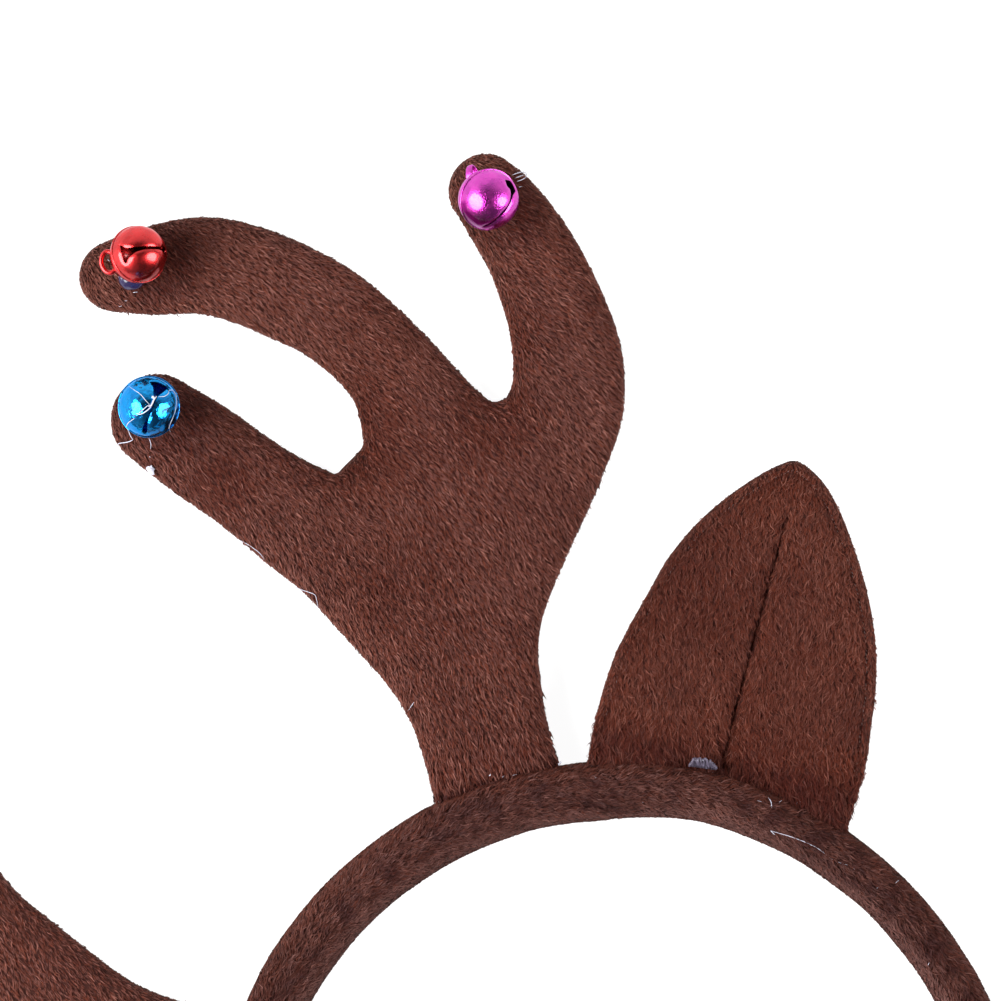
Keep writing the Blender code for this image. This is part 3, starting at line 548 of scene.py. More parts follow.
def grow(name, skin, count, seed, material, length, width, lift, nap, keep=None, tint=None,
         wave=(22.0, 30.0), wave_cell=(6.0, 1.3), bow=0.10, rows=None, spread=10.0, scale=None,
         rise=None, kind=None, edge_short=0.5, guard=None):
    """Cover a surface in short two-facet fibres, as one joined mesh.

    skin   (verts, tris) of the surface, in the part's frame
    nap    function of points and normals giving the pile's direction
    rows   (knit function, pull_mm, depth): fibres lean in to their row, and the gaps
       between rows are thinner and, by the depth, darker as painted shade, their crests lighter as painted
       highlight
    guard  (share, length factor, shade): longer strands among the rest, coloured lighter as painted highlight
    kind   function giving the chances that a fibre is warm or cool
    """
    rng = np.random.default_rng(seed)
    verts, tris = skin
    normals = vertex_normals(verts, tris)
    a, b, c = verts[tris[:, 0]], verts[tris[:, 1]], verts[tris[:, 2]]
    area = np.linalg.norm(np.cross(b - a, c - a), axis=1)
    centre = (a + b + c) / 3
    face_n = unit(normals[tris].mean(axis=1))
    weight = area * (keep(centre, face_n) if keep is not None else 1.0)
    pick = rng.choice(len(tris), size=int(count * 1.6), p=weight / weight.sum())
    r1, r2 = np.sqrt(rng.random(len(pick))), rng.random(len(pick))
    bary = np.column_stack([1 - r1, r1 * (1 - r2), r1 * r2])
    p = np.einsum("ij,ijk->ik", bary, verts[tris[pick]])
    n = unit(np.einsum("ij,ijk->ik", bary, normals[tris[pick]]))

    slit = np.zeros(len(p))
    ridge = np.zeros(len(p))
    pull = np.zeros(len(p))
    if rows is not None:
        phase, open_ = rows[0](p)
        cycle = 2 * math.pi * phase
        open_ = open_ * smoothstep(np.abs(n[:, 2]), 0.35, 0.8)
        pull = -rows[1] * MM * np.sin(cycle) * open_ * np.sign(n[:, 2])
        slit = rows[2] * smoothstep(-np.cos(cycle), 0.15, 0.85) * open_
        ridge = rows[2] * smoothstep(np.cos(cycle), 0.1, 0.9) * open_
    chosen = np.argsort(rng.random(len(p)) + 0.65 * slit)[:count]
    p, n, slit, pull, ridge = (v[chosen] for v in (p, n, slit, pull, ridge))
    t = nap(p, n)
    t = unit(t - n * np.sum(t * n, axis=1, keepdims=True))
    side = np.cross(n, t)
    m = len(p)

    turn = (np.radians(wave[0]) * CURL(p, wave_cell[0] * MM)
            + np.radians(wave[1]) * WAVE(p + 0.17, wave_cell[1] * MM)
            + np.radians(spread) * rng.standard_normal(m))
    size = length * (0.72 + 0.56 * rng.random(m)) * (1.0 - 0.35 * slit)
    facing = smoothstep(np.abs(n[:, 2]), 0.15, 0.85)
    size = size * (edge_short + (1 - edge_short) * facing)
    if scale is not None:
        size = size * scale(p, n)
    strand = np.zeros(m, bool)
    if guard is not None:
        strand = (rng.random(m) < guard[0]) & (np.abs(n[:, 2]) > 0.55)
        size = np.where(strand, size * guard[1], size)
    up = np.radians(lift[0] + lift[1] * rng.standard_normal(m) + 6.0 * WAVE(p + 0.5, 1.7 * MM))
    if rise is not None:
        up = up + np.radians(rise(p, n))
    up = np.clip(up * (0.55 + 0.45 * facing) + np.where(strand, 0.06, 0.0), 0.06, 1.4)
    ct, st = np.cos(turn)[:, None], np.sin(turn)[:, None]
    heading, across_v = t * ct + side * st, side * ct - t * st
    cu, su = np.cos(up)[:, None], np.sin(up)[:, None]
    axis = heading * cu + n * su
    tip = p + axis * size[:, None] + side * pull[:, None]
    bend = (bow * size * (0.6 * rng.standard_normal(m) + 1.3 * WAVE(p + 0.8, 1.2 * MM)))[:, None]
    mid = p + axis * (0.48 * size)[:, None] + side * (0.45 * pull)[:, None] + across_v * bend \
        + n * (0.07 * size)[:, None]
    roll = np.radians(28.0) * rng.standard_normal(m)
    flat = across_v * np.cos(roll)[:, None] + np.cross(axis, across_v) * np.sin(roll)[:, None]
    half = (0.5 * width * (0.75 + 0.5 * rng.random(m)))[:, None]
    root = p - n * (0.05 * MM)
    out = np.empty((m, 4, 3))
    out[:, 0], out[:, 1], out[:, 2], out[:, 3] = root, mid - flat * half, mid + flat * half, tip
    base = np.arange(m)[:, None] * 4
    faces = np.empty((m, 2, 3), int)
    faces[:, 0] = base + np.array([0, 1, 2])
    faces[:, 1] = base + np.array([2, 1, 3])
    # painted shade in the gaps between rows (slit) and painted highlight on the rows' crests (ridge)
    shade = 0.44 + 0.115 * rng.standard_normal(m) + 0.08 * PATCH(p, 9.0 * MM) \
        + 0.08 * PATCH(p + 0.4, 2.2 * MM) - 0.20 * slit + 0.16 * ridge
    if tint is not None:
        shade = shade + tint(p, n)
    # painted highlight: the long strands are coloured lighter for the light caught along them
    if guard is not None:
        shade = np.where(strand, shade + guard[2] - 0.44, shade)
    shade = np.clip(shade, 0.03, 0.96)
    run = np.ones(m, int)
    if kind is not None:
        warm, cool = kind(p, n)
        draw = rng.random(m)
        run = np.where(draw < warm, 0, np.where(draw > 1 - cool, 2, 1))
        if guard is not None:
            run = np.where(strand, np.where(draw < 0.7 * warm, 1, 2), run)
    uv = np.empty((m, 4, 2))
    uv[:, :, 0] = ((run + shade) / 3)[:, None] + np.array([0.0, -0.005, 0.005, 0.0])
    uv[:, :, 1] = np.array([0.03, 0.5, 0.5, 0.97])
    mesh = fast_mesh(name, out.reshape(-1, 3), faces.reshape(-1, 3), uv.reshape(-1, 2), False)
    return add_object(name, mesh, material)


# --------------------------------------------------------------- padded panels
def panel(side, foot, top, bottom, insets, grid, extra=()):
    """Closed padded panel as arrays.  side is the free edge, anticlockwise; foot
    closes it along the band.  top and bottom give heights from points and the
    distance in from the free edge."""
    outline = np.vstack([side, foot])
    loop = np.vstack([outline, outline[:1]])
    m = len(outline)
    t = unit(np.roll(outline, -1, axis=0) - np.roll(outline, 1, axis=0))
    inward = np.column_stack([-t[:, 1], t[:, 0]])
    kept = list(outline)
    last = 0.0
    for inset in insets:
        p = outline + inset * inward
        p = p[polyline_distance(p, loop) > 0.93 * inset]
        p = p[inside(p, outline)]
        kept += thin_points(p, np.full(len(p), max(0.6 * (inset - last), 0.25 * MM)), kept)
        last = inset
    if len(extra):
        extra = np.asarray(extra)
        extra = extra[inside(extra, outline)]
        extra = extra[polyline_distance(extra, loop) > insets[-1]]
        kept += thin_points(extra, np.full(len(extra), 0.3 * MM), kept)
    low, high = outline.min(axis=0), outline.max(axis=0)
    ys = np.arange(low[1], high[1], grid * 0.866)
    rows = [np.column_stack([np.arange(low[0] + (0.5 * grid if i % 2 else 0), high[0], grid),
                             np.full(len(np.arange(low[0] + (0.5 * grid if i % 2 else 0),
                                                   high[0], grid)), y)])
            for i, y in enumerate(ys)]
    p = np.vstack(rows)
    p = p[inside(p, outline)]
    p = p[polyline_distance(p, loop) > insets[-1] + 0.5 * grid]
    kept += thin_points(p, np.full(len(p), 0.6 * grid), kept)
    result = delaunay_2d_cdt([Vector((q[0] / MM, q[1] / MM)) for q in kept], [],
                             [list(range(m))], 1, 1e-6)
    points = np.array([[v.x * MM, v.y * MM] for v in result[0]])
    tris = np.array([f for f in result[2]], int)
    a, b, c = points[tris[:, 0]], points[tris[:, 1]], points[tris[:, 2]]
    area = (b - a)[:, 0] * (c - a)[:, 1] - (b - a)[:, 1] * (c - a)[:, 0]
    tris[area < 0] = tris[area < 0][:, ::-1]
    d = polyline_distance(points, side)
    zt, zb = top(points, d), bottom(points, d)
    joined = zt - zb < 1e-6
    n = len(points)
    low_id = np.where(joined, np.arange(n), n + np.arange(n))
    verts = np.vstack([np.column_stack([points, zt]), np.column_stack([points, zb])])
    faces = [tris, low_id[tris][:, ::-1]]
    edges = {}
    for f in tris:
        for i in range(3):
            edges[(f[i], f[(i + 1) % 3])] = True
    wall = []
    for i, j in edges:
        if (j, i) not in edges:
            quad = [low_id[i], low_id[j], j, i]
            ring = [v for k, v in enumerate(quad) if v != quad[k - 1]]
            for k in range(1, len(ring) - 1):
                wall.append([ring[0], ring[k], ring[k + 1]])
    if wall:
        faces.append(np.array(wall))
    faces = np.vstack(faces)
    used = np.unique(faces)
    remap = np.zeros(len(verts), int)
    remap[used] = np.arange(len(used))
    return verts[used], remap[faces]


def foot_arc(start, end, centre, spacing):
    a0 = math.atan2(start[1] - centre[1], start[0] - centre[0])
    a1 = math.atan2(end[1] - centre[1], end[0] - centre[0])
    r = math.hypot(*(start - centre))
    n = max(2, round(abs(a1 - a0) * r / spacing))
    return np.array([centre + r * np.array([math.cos(a0 + (a1 - a0) * i / n),
                                            math.sin(a0 + (a1 - a0) * i / n)])
                     for i in range(1, n)])


# ---------------------------------------------------------------------- antler
ANTLER_CIRCLE = np.array([0.0, -ANTLER_FOOT_R])


def antler_chains(grow_by):
    chains = []
    for rows in ANTLER_STROKES.values():
        line = spline(rows, 4) * MM
        line[:, 2] += grow_by
        chains.append(line)
    return chains


def antler_field(points, chains):
    total = None
    for line in chains:
        part = np.full(len(points), 1e9)
        for a, b in zip(line[:-1], line[1:]):
            ab = b[:2] - a[:2]
            t = np.clip((points - a[:2]) @ ab / (ab @ ab), 0.0, 1.0)
            gap = np.hypot(*(points - a[:2] - t[:, None] * ab).T)
            part = np.minimum(part, gap - (a[2] + (b[2] - a[2]) * t))
        if total is None:
            total = part
        else:
            w = np.clip(0.5 + 0.5 * (part - total) / CROTCH_BLEND, 0.0, 1.0)
            total = part * (1 - w) + total * w - CROTCH_BLEND * w * (1 - w)
    return total


def antler_side(chains, foot_r):
    def slope(p):
        e = 0.02 * MM
        f = antler_field(np.array([p, p + (e, 0), p + (0, e)]), chains)
        g = np.array([f[1] - f[0], f[2] - f[0]]) / e
        return f[0], g / max(math.hypot(*g), 1e-9)

    ends = []
    for sign in (1, -1):
        low, high = 0.0, math.radians(16.0)
        for _ in range(40):
            a = 0.5 * (low + high)
            p = ANTLER_CIRCLE + foot_r * np.array([sign * math.sin(a), math.cos(a)])
            if antler_field(p[None], chains)[0] < 0:
                low = a
            else:
                high = a
        ends.append(p)
    step = 0.5 * MM
    p, line = ends[0], [ends[0]]
    while len(line) < 4000:
        f, n = slope(p)
        p = p + step * np.array([-n[1], n[0]])
        for _ in range(2):
            f, n = slope(p)
            p = p - f * n
        if len(line) > 50 and math.hypot(*(p - ANTLER_CIRCLE)) < foot_r + 0.3 * step:
            break
        line.append(p)
    line.append(ends[1])
    return np.array(line)


def antler_middle(points):
    drop = BAND_DEPTH / 2 - ANTLER_HALF
    return BAND_DEPTH / 2 - drop * smoothstep(points[:, 1], *ANTLER_DROOP)


def antler_half(d):
    t = np.clip(d / ANTLER_ROUND, 0.0, 1.0)
    return ANTLER_HALF * np.sqrt(np.clip(1.0 - (1.0 - t) ** 2, 0.0, 1.0))


def antler_top(points, side):
    """Height of the pile's outer form, as the bells stand on it."""
    return antler_middle(points) + antler_half(polyline_distance(points, side))


SOFT = Noise(21)


def antler_heights(points, d):
    half = antler_half(d) - 0.42 * MM * np.clip(d / (1.2 * MM), 0, 1)
    half = half * (1.0 + 0.05 * SOFT(points, 9.0 * MM) * np.clip(d / (4 * MM), 0, 1))
    reach = np.hypot(*(points - ANTLER_CIRCLE).T) - BAND_OUTER_R
    foot = 1.0 - 0.42 * (1.0 - smoothstep(reach, 0.0, 3.2 * MM))
    return antler_middle(points), half * foot


def eased(side):
    """The neck's outline, without the corners where its strokes meet."""
    soft = side.copy()
    for _ in range(45):
        soft[1:-1] += 0.5 * (0.5 * (soft[:-2] + soft[2:]) - soft[1:-1])
    share = smoothstep(side[:, 1], 9.0 * MM, 16.0 * MM) * (
        1.0 - smoothstep(side[:, 1], 34.0 * MM, 42.0 * MM))
    return side + (soft - side) * share[:, None]


def antler_skin():
    r = BAND_OUTER_R + 0.1 * MM
    side = antler_side(antler_chains(-ANTLER_SKIN_IN), r)
    side = eased(np.vstack([side[:1], resample(side, 0.9 * MM)[1:-1], side[-1:]]))
    foot = foot_arc(side[-1], side[0], ANTLER_CIRCLE, 1.0 * MM)

    def top(p, d):
        mid, half = antler_heights(p, d)
        return mid + half

    def bottom(p, d):
        mid, half = antler_heights(p, d)
        return mid - half

    return panel(side, foot, top, bottom,
                 [0.12 * MM, 0.4 * MM, 0.9 * MM, 1.6 * MM, 2.6 * MM, 4.0 * MM], 1.9 * MM)


# ------------------------------------------------------------------------- ear
EAR_CIRCLE = np.array([0.0, -EAR_FOOT_R])


def ear_side(foot_r, shrink):
    right = [(row[2], row[0]) for row in EAR_SECTIONS]
    left = [(row[1], row[0]) for row in reversed(EAR_SECTIONS)]
    line = spline(right + [EAR_TIP] + left, 14) * MM
    t = unit(np.gradient(line, axis=0))
    line = line + shrink * np.column_stack([-t[:, 1], t[:, 0]])
    clear = np.hypot(*(line - EAR_CIRCLE).T) - foot_r
    first = int(np.argmax(clear > 0))
    last = len(line) - 1 - int(np.argmax(clear[::-1] > 0))
    start = line[first - 1] + (line[first] - line[first - 1]) * (
        -clear[first - 1] / (clear[first] - clear[first - 1]))
    end = line[last] + (line[last + 1] - line[last]) * (clear[last] / (clear[last] - clear[last + 1]))
    return np.vstack([[start], line[first + 1:last], [end]])


def crease_x(y):
    return np.interp(y / MM, column(EAR_CREASE, 0), column(EAR_CREASE, 1)) * MM


def ear_middle(points):
    x, y = points[:, 0], points[:, 1]
    off = np.abs(x - crease_x(y))
    settle = 5.2 * MM - 2.2 * MM * smoothstep(y, 0.0, 38.0 * MM)
    cup = 0.14 * off * (1.0 - 0.45 * smoothstep(y, 10.0 * MM, 50.0 * MM))
    bulge = 1.0 * MM * np.exp(-((x - 16.0 * MM) ** 2 + (y - 2.0 * MM) ** 2) / (7.0 * MM) ** 2)
    return settle + cup + bulge


def ear_heights(points, d):
    x, y = points[:, 0], points[:, 1]
    half = np.interp(d / MM, column(EAR_PROFILE, 0), column(EAR_PROFILE, 1)) * MM
    depth = np.interp(y / MM, column(EAR_CREASE, 0), column(EAR_CREASE, 2)) * MM
    off = x - crease_x(y)
    fold = depth * (0.85 * np.exp(-(off / (0.30 * MM)) ** 2) + 0.30 * np.exp(-(off / (1.3 * MM)) ** 2))
    puff = 0.25 * MM * np.exp(-((np.abs(off) - 3.2 * MM) / (1.6 * MM)) ** 2) * smoothstep(
        44.0 * MM - y, 0.0, 10.0 * MM)
    dents = 0.16 * MM * SOFT(points + 0.2, 5.0 * MM) * np.clip((d - 2.0 * MM) / (3 * MM), 0, 1)
    return ear_middle(points), half, puff + dents - fold, half - 0.05 * MM


def ear_skin():
    r = BAND_OUTER_R + 0.15 * MM
    side = resample(ear_side(r, EAR_SKIN_IN), 0.8 * MM)
    foot = foot_arc(side[-1], side[0], EAR_CIRCLE, 0.9 * MM)
    ys = np.arange(1.5, 46.5, 0.8)
    extra = [(float(crease_x(y * MM)) + dx * MM, y * MM) for dx in
             (0.0, -0.3, 0.3, -0.65, 0.65, -1.15, 1.15, -1.9, 1.9) for y in ys]

    def top(p, d):
        mid, half, shape, _ = ear_heights(p, d)
        return mid + half + shape * np.clip(d / (1.0 * MM), 0, 1)

    def bottom(p, d):
        mid, half, shape, _ = ear_heights(p, d)
        return np.minimum(mid - half, mid + half) + 0.3 * np.minimum(shape, 0) * np.clip(
            d / (1.0 * MM), 0, 1)

    return panel(side, foot, top, bottom,
                 [0.12 * MM, 0.35 * MM, 0.8 * MM, 1.25 * MM, 1.6 * MM, 2.0 * MM, 2.7 * MM, 3.8 * MM],
                 1.7 * MM, extra)


# ------------------------------------------------------------------------ band
def band_line():
    """Stations along the band: centre, outward, thickness, scale, crown angle."""
    rows = []
    n = 230
    for i in range(n + 1):
        deg = ARC_HALF_DEG * (2.0 * i / n - 1.0)
        a = math.radians(deg)
        thick = float(np.interp(abs(deg), column(BAND_THICKNESS, 0), column(BAND_THICKNESS, 1))) * MM
        r = BAND_OUTER_R - thick / 2
        rows.append((r * math.sin(a), ARC_Y + r * math.cos(a), math.sin(a), math.cos(a), thick, 1.0,
                     deg))
    x, y = rows[-1][0], rows[-1][1]
    heading, thick = math.radians(ARC_HALF_DEG), rows[-1][4]
    right = []
    steps = 40
    step = LEG_LENGTH / steps
    for _ in range(steps):
        heading += 0.5 * step / LEG_BEND_R
        x += step * math.cos(heading)
        y -= step * math.sin(heading)
        heading += 0.5 * step / LEG_BEND_R
        right.append((x, y, math.sin(heading), math.cos(heading), thick, 1.0, math.degrees(heading)))
    for frac in (0.2, 0.4, 0.57, 0.72, 0.84, 0.93, 0.985):
        right.append((x + CAP_LENGTH * frac * math.cos(heading),
                      y - CAP_LENGTH * frac * math.sin(heading), math.sin(heading),
                      math.cos(heading), thick, math.sqrt(1.0 - frac * frac),
                      math.degrees(heading)))
    left = [(-r[0], r[1], -r[2], r[3], r[4], r[5], -r[6]) for r in right]
    return np.array(list(reversed(left)) + rows + right)


def band_skin():
    """Padded tube whose front is an overlap: the outer flap lies on the inner."""
    line = band_line()
    m = 52
    verts = []
    wob = Noise(31)
    for x, y, ox, oy, thick, scale, deg in line:
        seam = float(np.interp(deg, column(BAND_SEAM, 0), column(BAND_SEAM, 1))) * MM
        depth = float(np.interp(deg, column(BAND_SEAM, 0), column(BAND_SEAM, 2))) * MM
        ang = np.linspace(0, 2 * math.pi, m, endpoint=False)
        a, b = thick / 2 - BAND_SKIN_IN, BAND_DEPTH / 2 - BAND_SKIN_IN
        power = 2.5
        ca, sa = np.cos(ang), np.sin(ang)
        r = (np.abs(ca) ** power + np.abs(sa) ** power) ** (-1 / power)
        u, v = a * r * ca, b * r * sa
        front = sa > 0.2
        # the front is sampled more closely round the seam
        near = np.exp(-((u - seam) / (2.2 * MM)) ** 2)
        u = np.where(front, u - 0.35 * (u - seam) * near, u)
        gap = np.exp(-((u - seam) / (0.42 * MM)) ** 2)
        step = 0.22 * MM * (1.0 / (1.0 + np.exp(-(u - seam) / (0.3 * MM))))
        v = np.where(front, v - depth * gap - 0.22 * MM + step, v)
        pts = np.column_stack([x + ox * u, y + oy * u, BAND_DEPTH / 2 + v])
        lump = 0.16 * MM * wob(pts, 7.0 * MM)
        u, v = u * (1 + lump / a), v * (1 + lump / b)
        u, v = u * scale, v * scale
        verts.append(np.column_stack([x + ox * u, y + oy * u, BAND_DEPTH / 2 + v]))
    n = len(line)
    verts = np.vstack(verts)
    i = np.arange(n - 1)[:, None] * m
    j = np.arange(m)[None, :]
    k = (j + 1) % m
    q = np.stack([i + j, i + k, i + m + k, i + m + j], axis=-1).reshape(-1, 4)
    tris = np.vstack([q[:, [0, 1, 2]], q[:, [0, 2, 3]]])
    ends = np.array([verts[:m].mean(axis=0), verts[-m:].mean(axis=0)])
    e0, e1 = len(verts), len(verts) + 1
    verts = np.vstack([verts, ends])
    jj = np.arange(m)
    kk = (jj + 1) % m
    last = (n - 1) * m
    tris = np.vstack([tris, np.column_stack([np.full(m, e0), kk, jj]),
                      np.column_stack([np.full(m, e1), last + jj, last + kk])])
    return verts, tris


def band_frame(p):
    """Outward direction, along direction and crown angle at points on the band."""
    x, y = p[:, 0], p[:, 1] - ARC_Y
    ang = np.arctan2(x, y)
    end = math.radians(ARC_HALF_DEG)
    # past the circle the legs run on nearly straight
    line = BAND_LINE
    over = np.abs(ang) > end
    out = np.column_stack([np.sin(ang), np.cos(ang), np.zeros(len(p))])
    if over.any():
        q = p[over]
        best = np.argmin((q[:, None, 0] - line[None, :, 0]) ** 2
                         + (q[:, None, 1] - line[None, :, 1]) ** 2, axis=1)
        out[over, 0], out[over, 1] = line[best, 2], line[best, 3]
    along = np.column_stack([out[:, 1], -out[:, 0], np.zeros(len(p))])
    return out, along, np.degrees(ang)


# ------------------------------------------------------------------------ bell
def bell_hole_outline(points, ragged):
    line = spline(list(points) + [points[0]], 6)[:-1]
    keep = [line[0]]
    for p in line[1:]:
        if math.hypot(*(p - keep[-1])) > 0.06:
            keep.append(p)
    line = np.array(keep)
    jag = np.random.default_rng(5).random(len(line)) - 0.5
    return (line + ragged * jag[:, None] * unit(line)) * MM


def bell_mouth(points, ragged, dents):
    """Mouth half of the shell: outer skin over the flattened sheet."""
    rim = (math.pi / 2 - 0.05) * BELL_R
    hole = bell_hole_outline(points, ragged)
    circle = np.array([(rim * math.cos(2 * math.pi * i / 110), rim * math.sin(2 * math.pi * i / 110))
                       for i in range(110)])
    kept = list(circle) + list(hole)
    loop = np.vstack([hole, hole[:1]])
    t = unit(np.roll(hole, -1, axis=0) - np.roll(hole, 1, axis=0))
    outward = np.column_stack([t[:, 1], -t[:, 0]])
    for off in (0.1, 0.24, 0.42, 0.66, 1.0):
        p = hole + off * MM * outward
        p = p[(polyline_distance(p, loop) > 0.93 * off * MM) & ~inside(p, hole)]
        p = p[np.hypot(*p.T) < rim - 0.15 * MM]
        kept += thin_points(p, np.full(len(p), 0.12 * MM), kept)
    g = 0.52 * MM
    xs = np.arange(-rim, rim, g)
    grid = np.array([(x + (0.5 * g if j % 2 else 0), y) for j, y in enumerate(np.arange(-rim, rim, g * 0.866))
                     for x in xs])
    grid = grid[(np.hypot(*grid.T) < rim - 0.2 * MM) & ~inside(grid, hole)]
    grid = grid[polyline_distance(grid, loop) > 1.1 * MM]
    kept += thin_points(grid, np.full(len(grid), 0.25 * MM), kept)
    n0, n1 = len(circle), len(circle) + len(hole)
    result = delaunay_2d_cdt([Vector((p[0] / MM, p[1] / MM)) for p in kept], [],
                             [list(range(n0)), list(range(n1 - 1, n0 - 1, -1))], 0, 1e-6)
    pts = np.array([[v.x * MM, v.y * MM] for v in result[0]])
    tris = np.array([f for f in result[2]], int)
    mid = pts[tris].mean(axis=1)
    tris = tris[~inside(mid, hole) & (np.hypot(*mid.T) < rim)]
    a, b, c = pts[tris[:, 0]], pts[tris[:, 1]], pts[tris[:, 2]]
    area = (b - a)[:, 0] * (c - a)[:, 1] - (b - a)[:, 1] * (c - a)[:, 0]
    tris[area < 0] = tris[area < 0][:, ::-1]
    d = polyline_distance(pts, loop)
    theta = np.hypot(*pts.T) / BELL_R
    phi = np.arctan2(pts[:, 1], pts[:, 0])
    curl = 0.16 * MM * np.exp(-(d / (0.30 * MM)) ** 1.3) * (1 - smoothstep(theta, 1.3, 1.5))
    step = 0.035 * MM * np.sin(np.clip((theta - 1.25) / 0.28, 0, 1) * math.pi)
    dent = dents * MM * Noise(61)(np.column_stack([pts, np.zeros(len(pts))]), 1.9 * MM)
    r = BELL_R - curl - step + dent * (1 - smoothstep(theta, 1.2, 1.4))
    return np.column_stack([r * np.sin(theta) * np.cos(phi), r * np.sin(theta) * np.sin(phi),
                            r * np.cos(theta)]), tris


def lathe(profile, segments, closed=False):
    """Surface turned about z, as arrays.  The profile runs down the outside."""
    verts, rings = [], []
    for r, z in profile:
        start = len(verts)
        if r < 1e-9:
            verts.append((0.0, 0.0, z))
            rings.append([start])
        else:
            for i in range(segments):
                a = 2 * math.pi * i / segments
                verts.append((r * math.cos(a), r * math.sin(a), z))
            rings.append(list(range(start, start + segments)))
    tris = []
    pairs = list(zip(rings[:-1], rings[1:]))
    if closed:
        pairs.append((rings[-1], rings[0]))
    for up, down in pairs:
        for i in range(segments):
            j = (i + 1) % segments
            if len(up) == 1:
                tris.append((up[0], down[i], down[j]))
            elif len(down) == 1:
                tris.append((up[i], down[0], up[j]))
            else:
                tris.append((up[i], down[i], down[j]))
                tris.append((up[i], down[j], up[j]))
    return np.array(verts), np.array(tris)


def strip_ring(ax, az, centre, width, thick, turns=44, round_=3):
    """Flat metal strip bent into an oval in the x-z plane."""
    corner = 0.42 * thick
    sec = []
    for sx, sz in ((1, 1), (-1, 1), (-1, -1), (1, -1)):
        base = {(1, 1): 0, (-1, 1): 90, (-1, -1): 180, (1, -1): 270}[(sx, sz)]
        for k in range(round_ + 1):
            b = math.radians(base + 90.0 * k / round_)
            sec.append((sx * (width / 2 - corner) + corner * math.cos(b),
                        sz * (thick / 2 - corner) + corner * math.sin(b)))
    verts, m = [], len(sec)
    for i in range(turns):
        a = 2 * math.pi * i / turns
        nx, nz = math.sin(a) / ax, math.cos(a) / az
        k = math.hypot(nx, nz)
        nx, nz = nx / k, nz / k
        for sy, sn in sec:
            verts.append((ax * math.sin(a) + nx * sn, sy, centre + az * math.cos(a) + nz * sn))
    tris = []
    for i in range(turns):
        for j in range(m):
            a, b = (i + 1) % turns, (j + 1) % m
            q = (i * m + j, a * m + j, a * m + b, i * m + b)
            tris += [(q[0], q[1], q[2]), (q[0], q[2], q[3])]
    verts, tris = np.array(verts), np.array(tris)
    # outward check
    c = verts[tris].mean(axis=1)
    nrm = np.cross(verts[tris[:, 1]] - verts[tris[:, 0]], verts[tris[:, 2]] - verts[tris[:, 0]])
    ring = np.column_stack([ax * unit(c[:, [0, 2]] - np.array([0, centre]))[:, 0], np.zeros(len(c)),
                            centre + az * unit(c[:, [0, 2]] - np.array([0, centre]))[:, 1]])
    if np.sum(np.einsum("ij,ij->i", nrm, c - ring)) < 0:
        tris = tris[:, ::-1]
    return verts, tris


def thicken(verts, tris, thick):
    """Closed sheet: the outer skin, an inner one, and walls round each edge."""
    n = vertex_normals(verts, tris)
    count = len(verts)
    inner = verts - n * thick
    edges = set()
    for f in tris:
        for i in range(3):
            edges.add((f[i], f[(i + 1) % 3]))
    wall = []
    for i, j in edges:
        if (j, i) not in edges:
            wall += [(j, i, count + i), (j, count + i, count + j)]
    return (np.vstack([verts, inner]),
            np.vstack([tris, tris[:, ::-1] + count, np.array(wall, int)]))


def bell_parts(points, ragged, dents):
    """One bell at the origin, mouth to +z, slit along y, as joined arrays."""
    parts = []
    v, t = bell_mouth(points, ragged, dents)
    parts.append(thicken(v, t, 0.3 * MM))
    dome = [(BELL_R * math.cos(a), -BELL_R * math.sin(a)) for a in
            np.radians(np.linspace(2.5, 90.0, 20))]
    dome[-1] = (0.0, -BELL_R)
    v, t = lathe(dome, 52)
    parts.append(thicken(v, t, 0.3 * MM))
    bead = [(4.72, 0.20), (4.84, 0.21), (4.91, 0.17), (4.945, 0.10), (4.94, 0.05), (4.91, 0.02),
            (4.90, -0.01), (4.92, -0.05), (4.94, -0.11), (4.92, -0.17), (4.87, -0.21), (4.79, -0.23),
            (4.70, -0.21), (4.5, 0.0)]
    parts.append(lathe([(r * MM, z * MM) for r, z in bead], 84, closed=True))
    verts, tris, start = [], [], 0
    for v, t in parts:
        verts.append(v)
        tris.append(t + start)
        start += len(v)
    return np.vstack(verts), np.vstack(tris)


def loop_parts(middle, out, strip, spans, width, sheet, flare, mouth):
    """Bent strip loop and its stem, in the bell's own place but the viewer's axes."""
    middle = np.array(middle) * MM
    out = unit(np.array(out))
    wide = unit(np.array(strip) - out * np.dot(out, strip))
    third = np.cross(wide, out)
    v, t = strip_ring(spans[0] * MM, spans[1] * MM, 0.0, width * MM, sheet * MM)
    v[:, 1] *= 1.0 + flare * np.clip(0.5 - 0.5 * v[:, 2] / (spans[1] * MM), 0.0, 1.2) ** 1.3
    ring = v @ np.column_stack([third, wide, out]).T + middle
    # the stem runs from the ring's foot to the shell, opposite the mouth
    mouth = unit(np.array(mouth))
    foot = -mouth * 4.6 * MM
    top = middle - out * (spans[1] - 0.1) * MM
    near = unit(top) * 4.55 * MM
    line = np.array([top, 0.6 * near + 0.4 * top, unit(near + foot) * 4.9 * MM, foot])
    sv, st = tube(spline(line, 5), 0.34 * MM, 10, wide, 1.25)
    return np.vstack([ring, sv]), np.vstack([t, st + len(ring)])


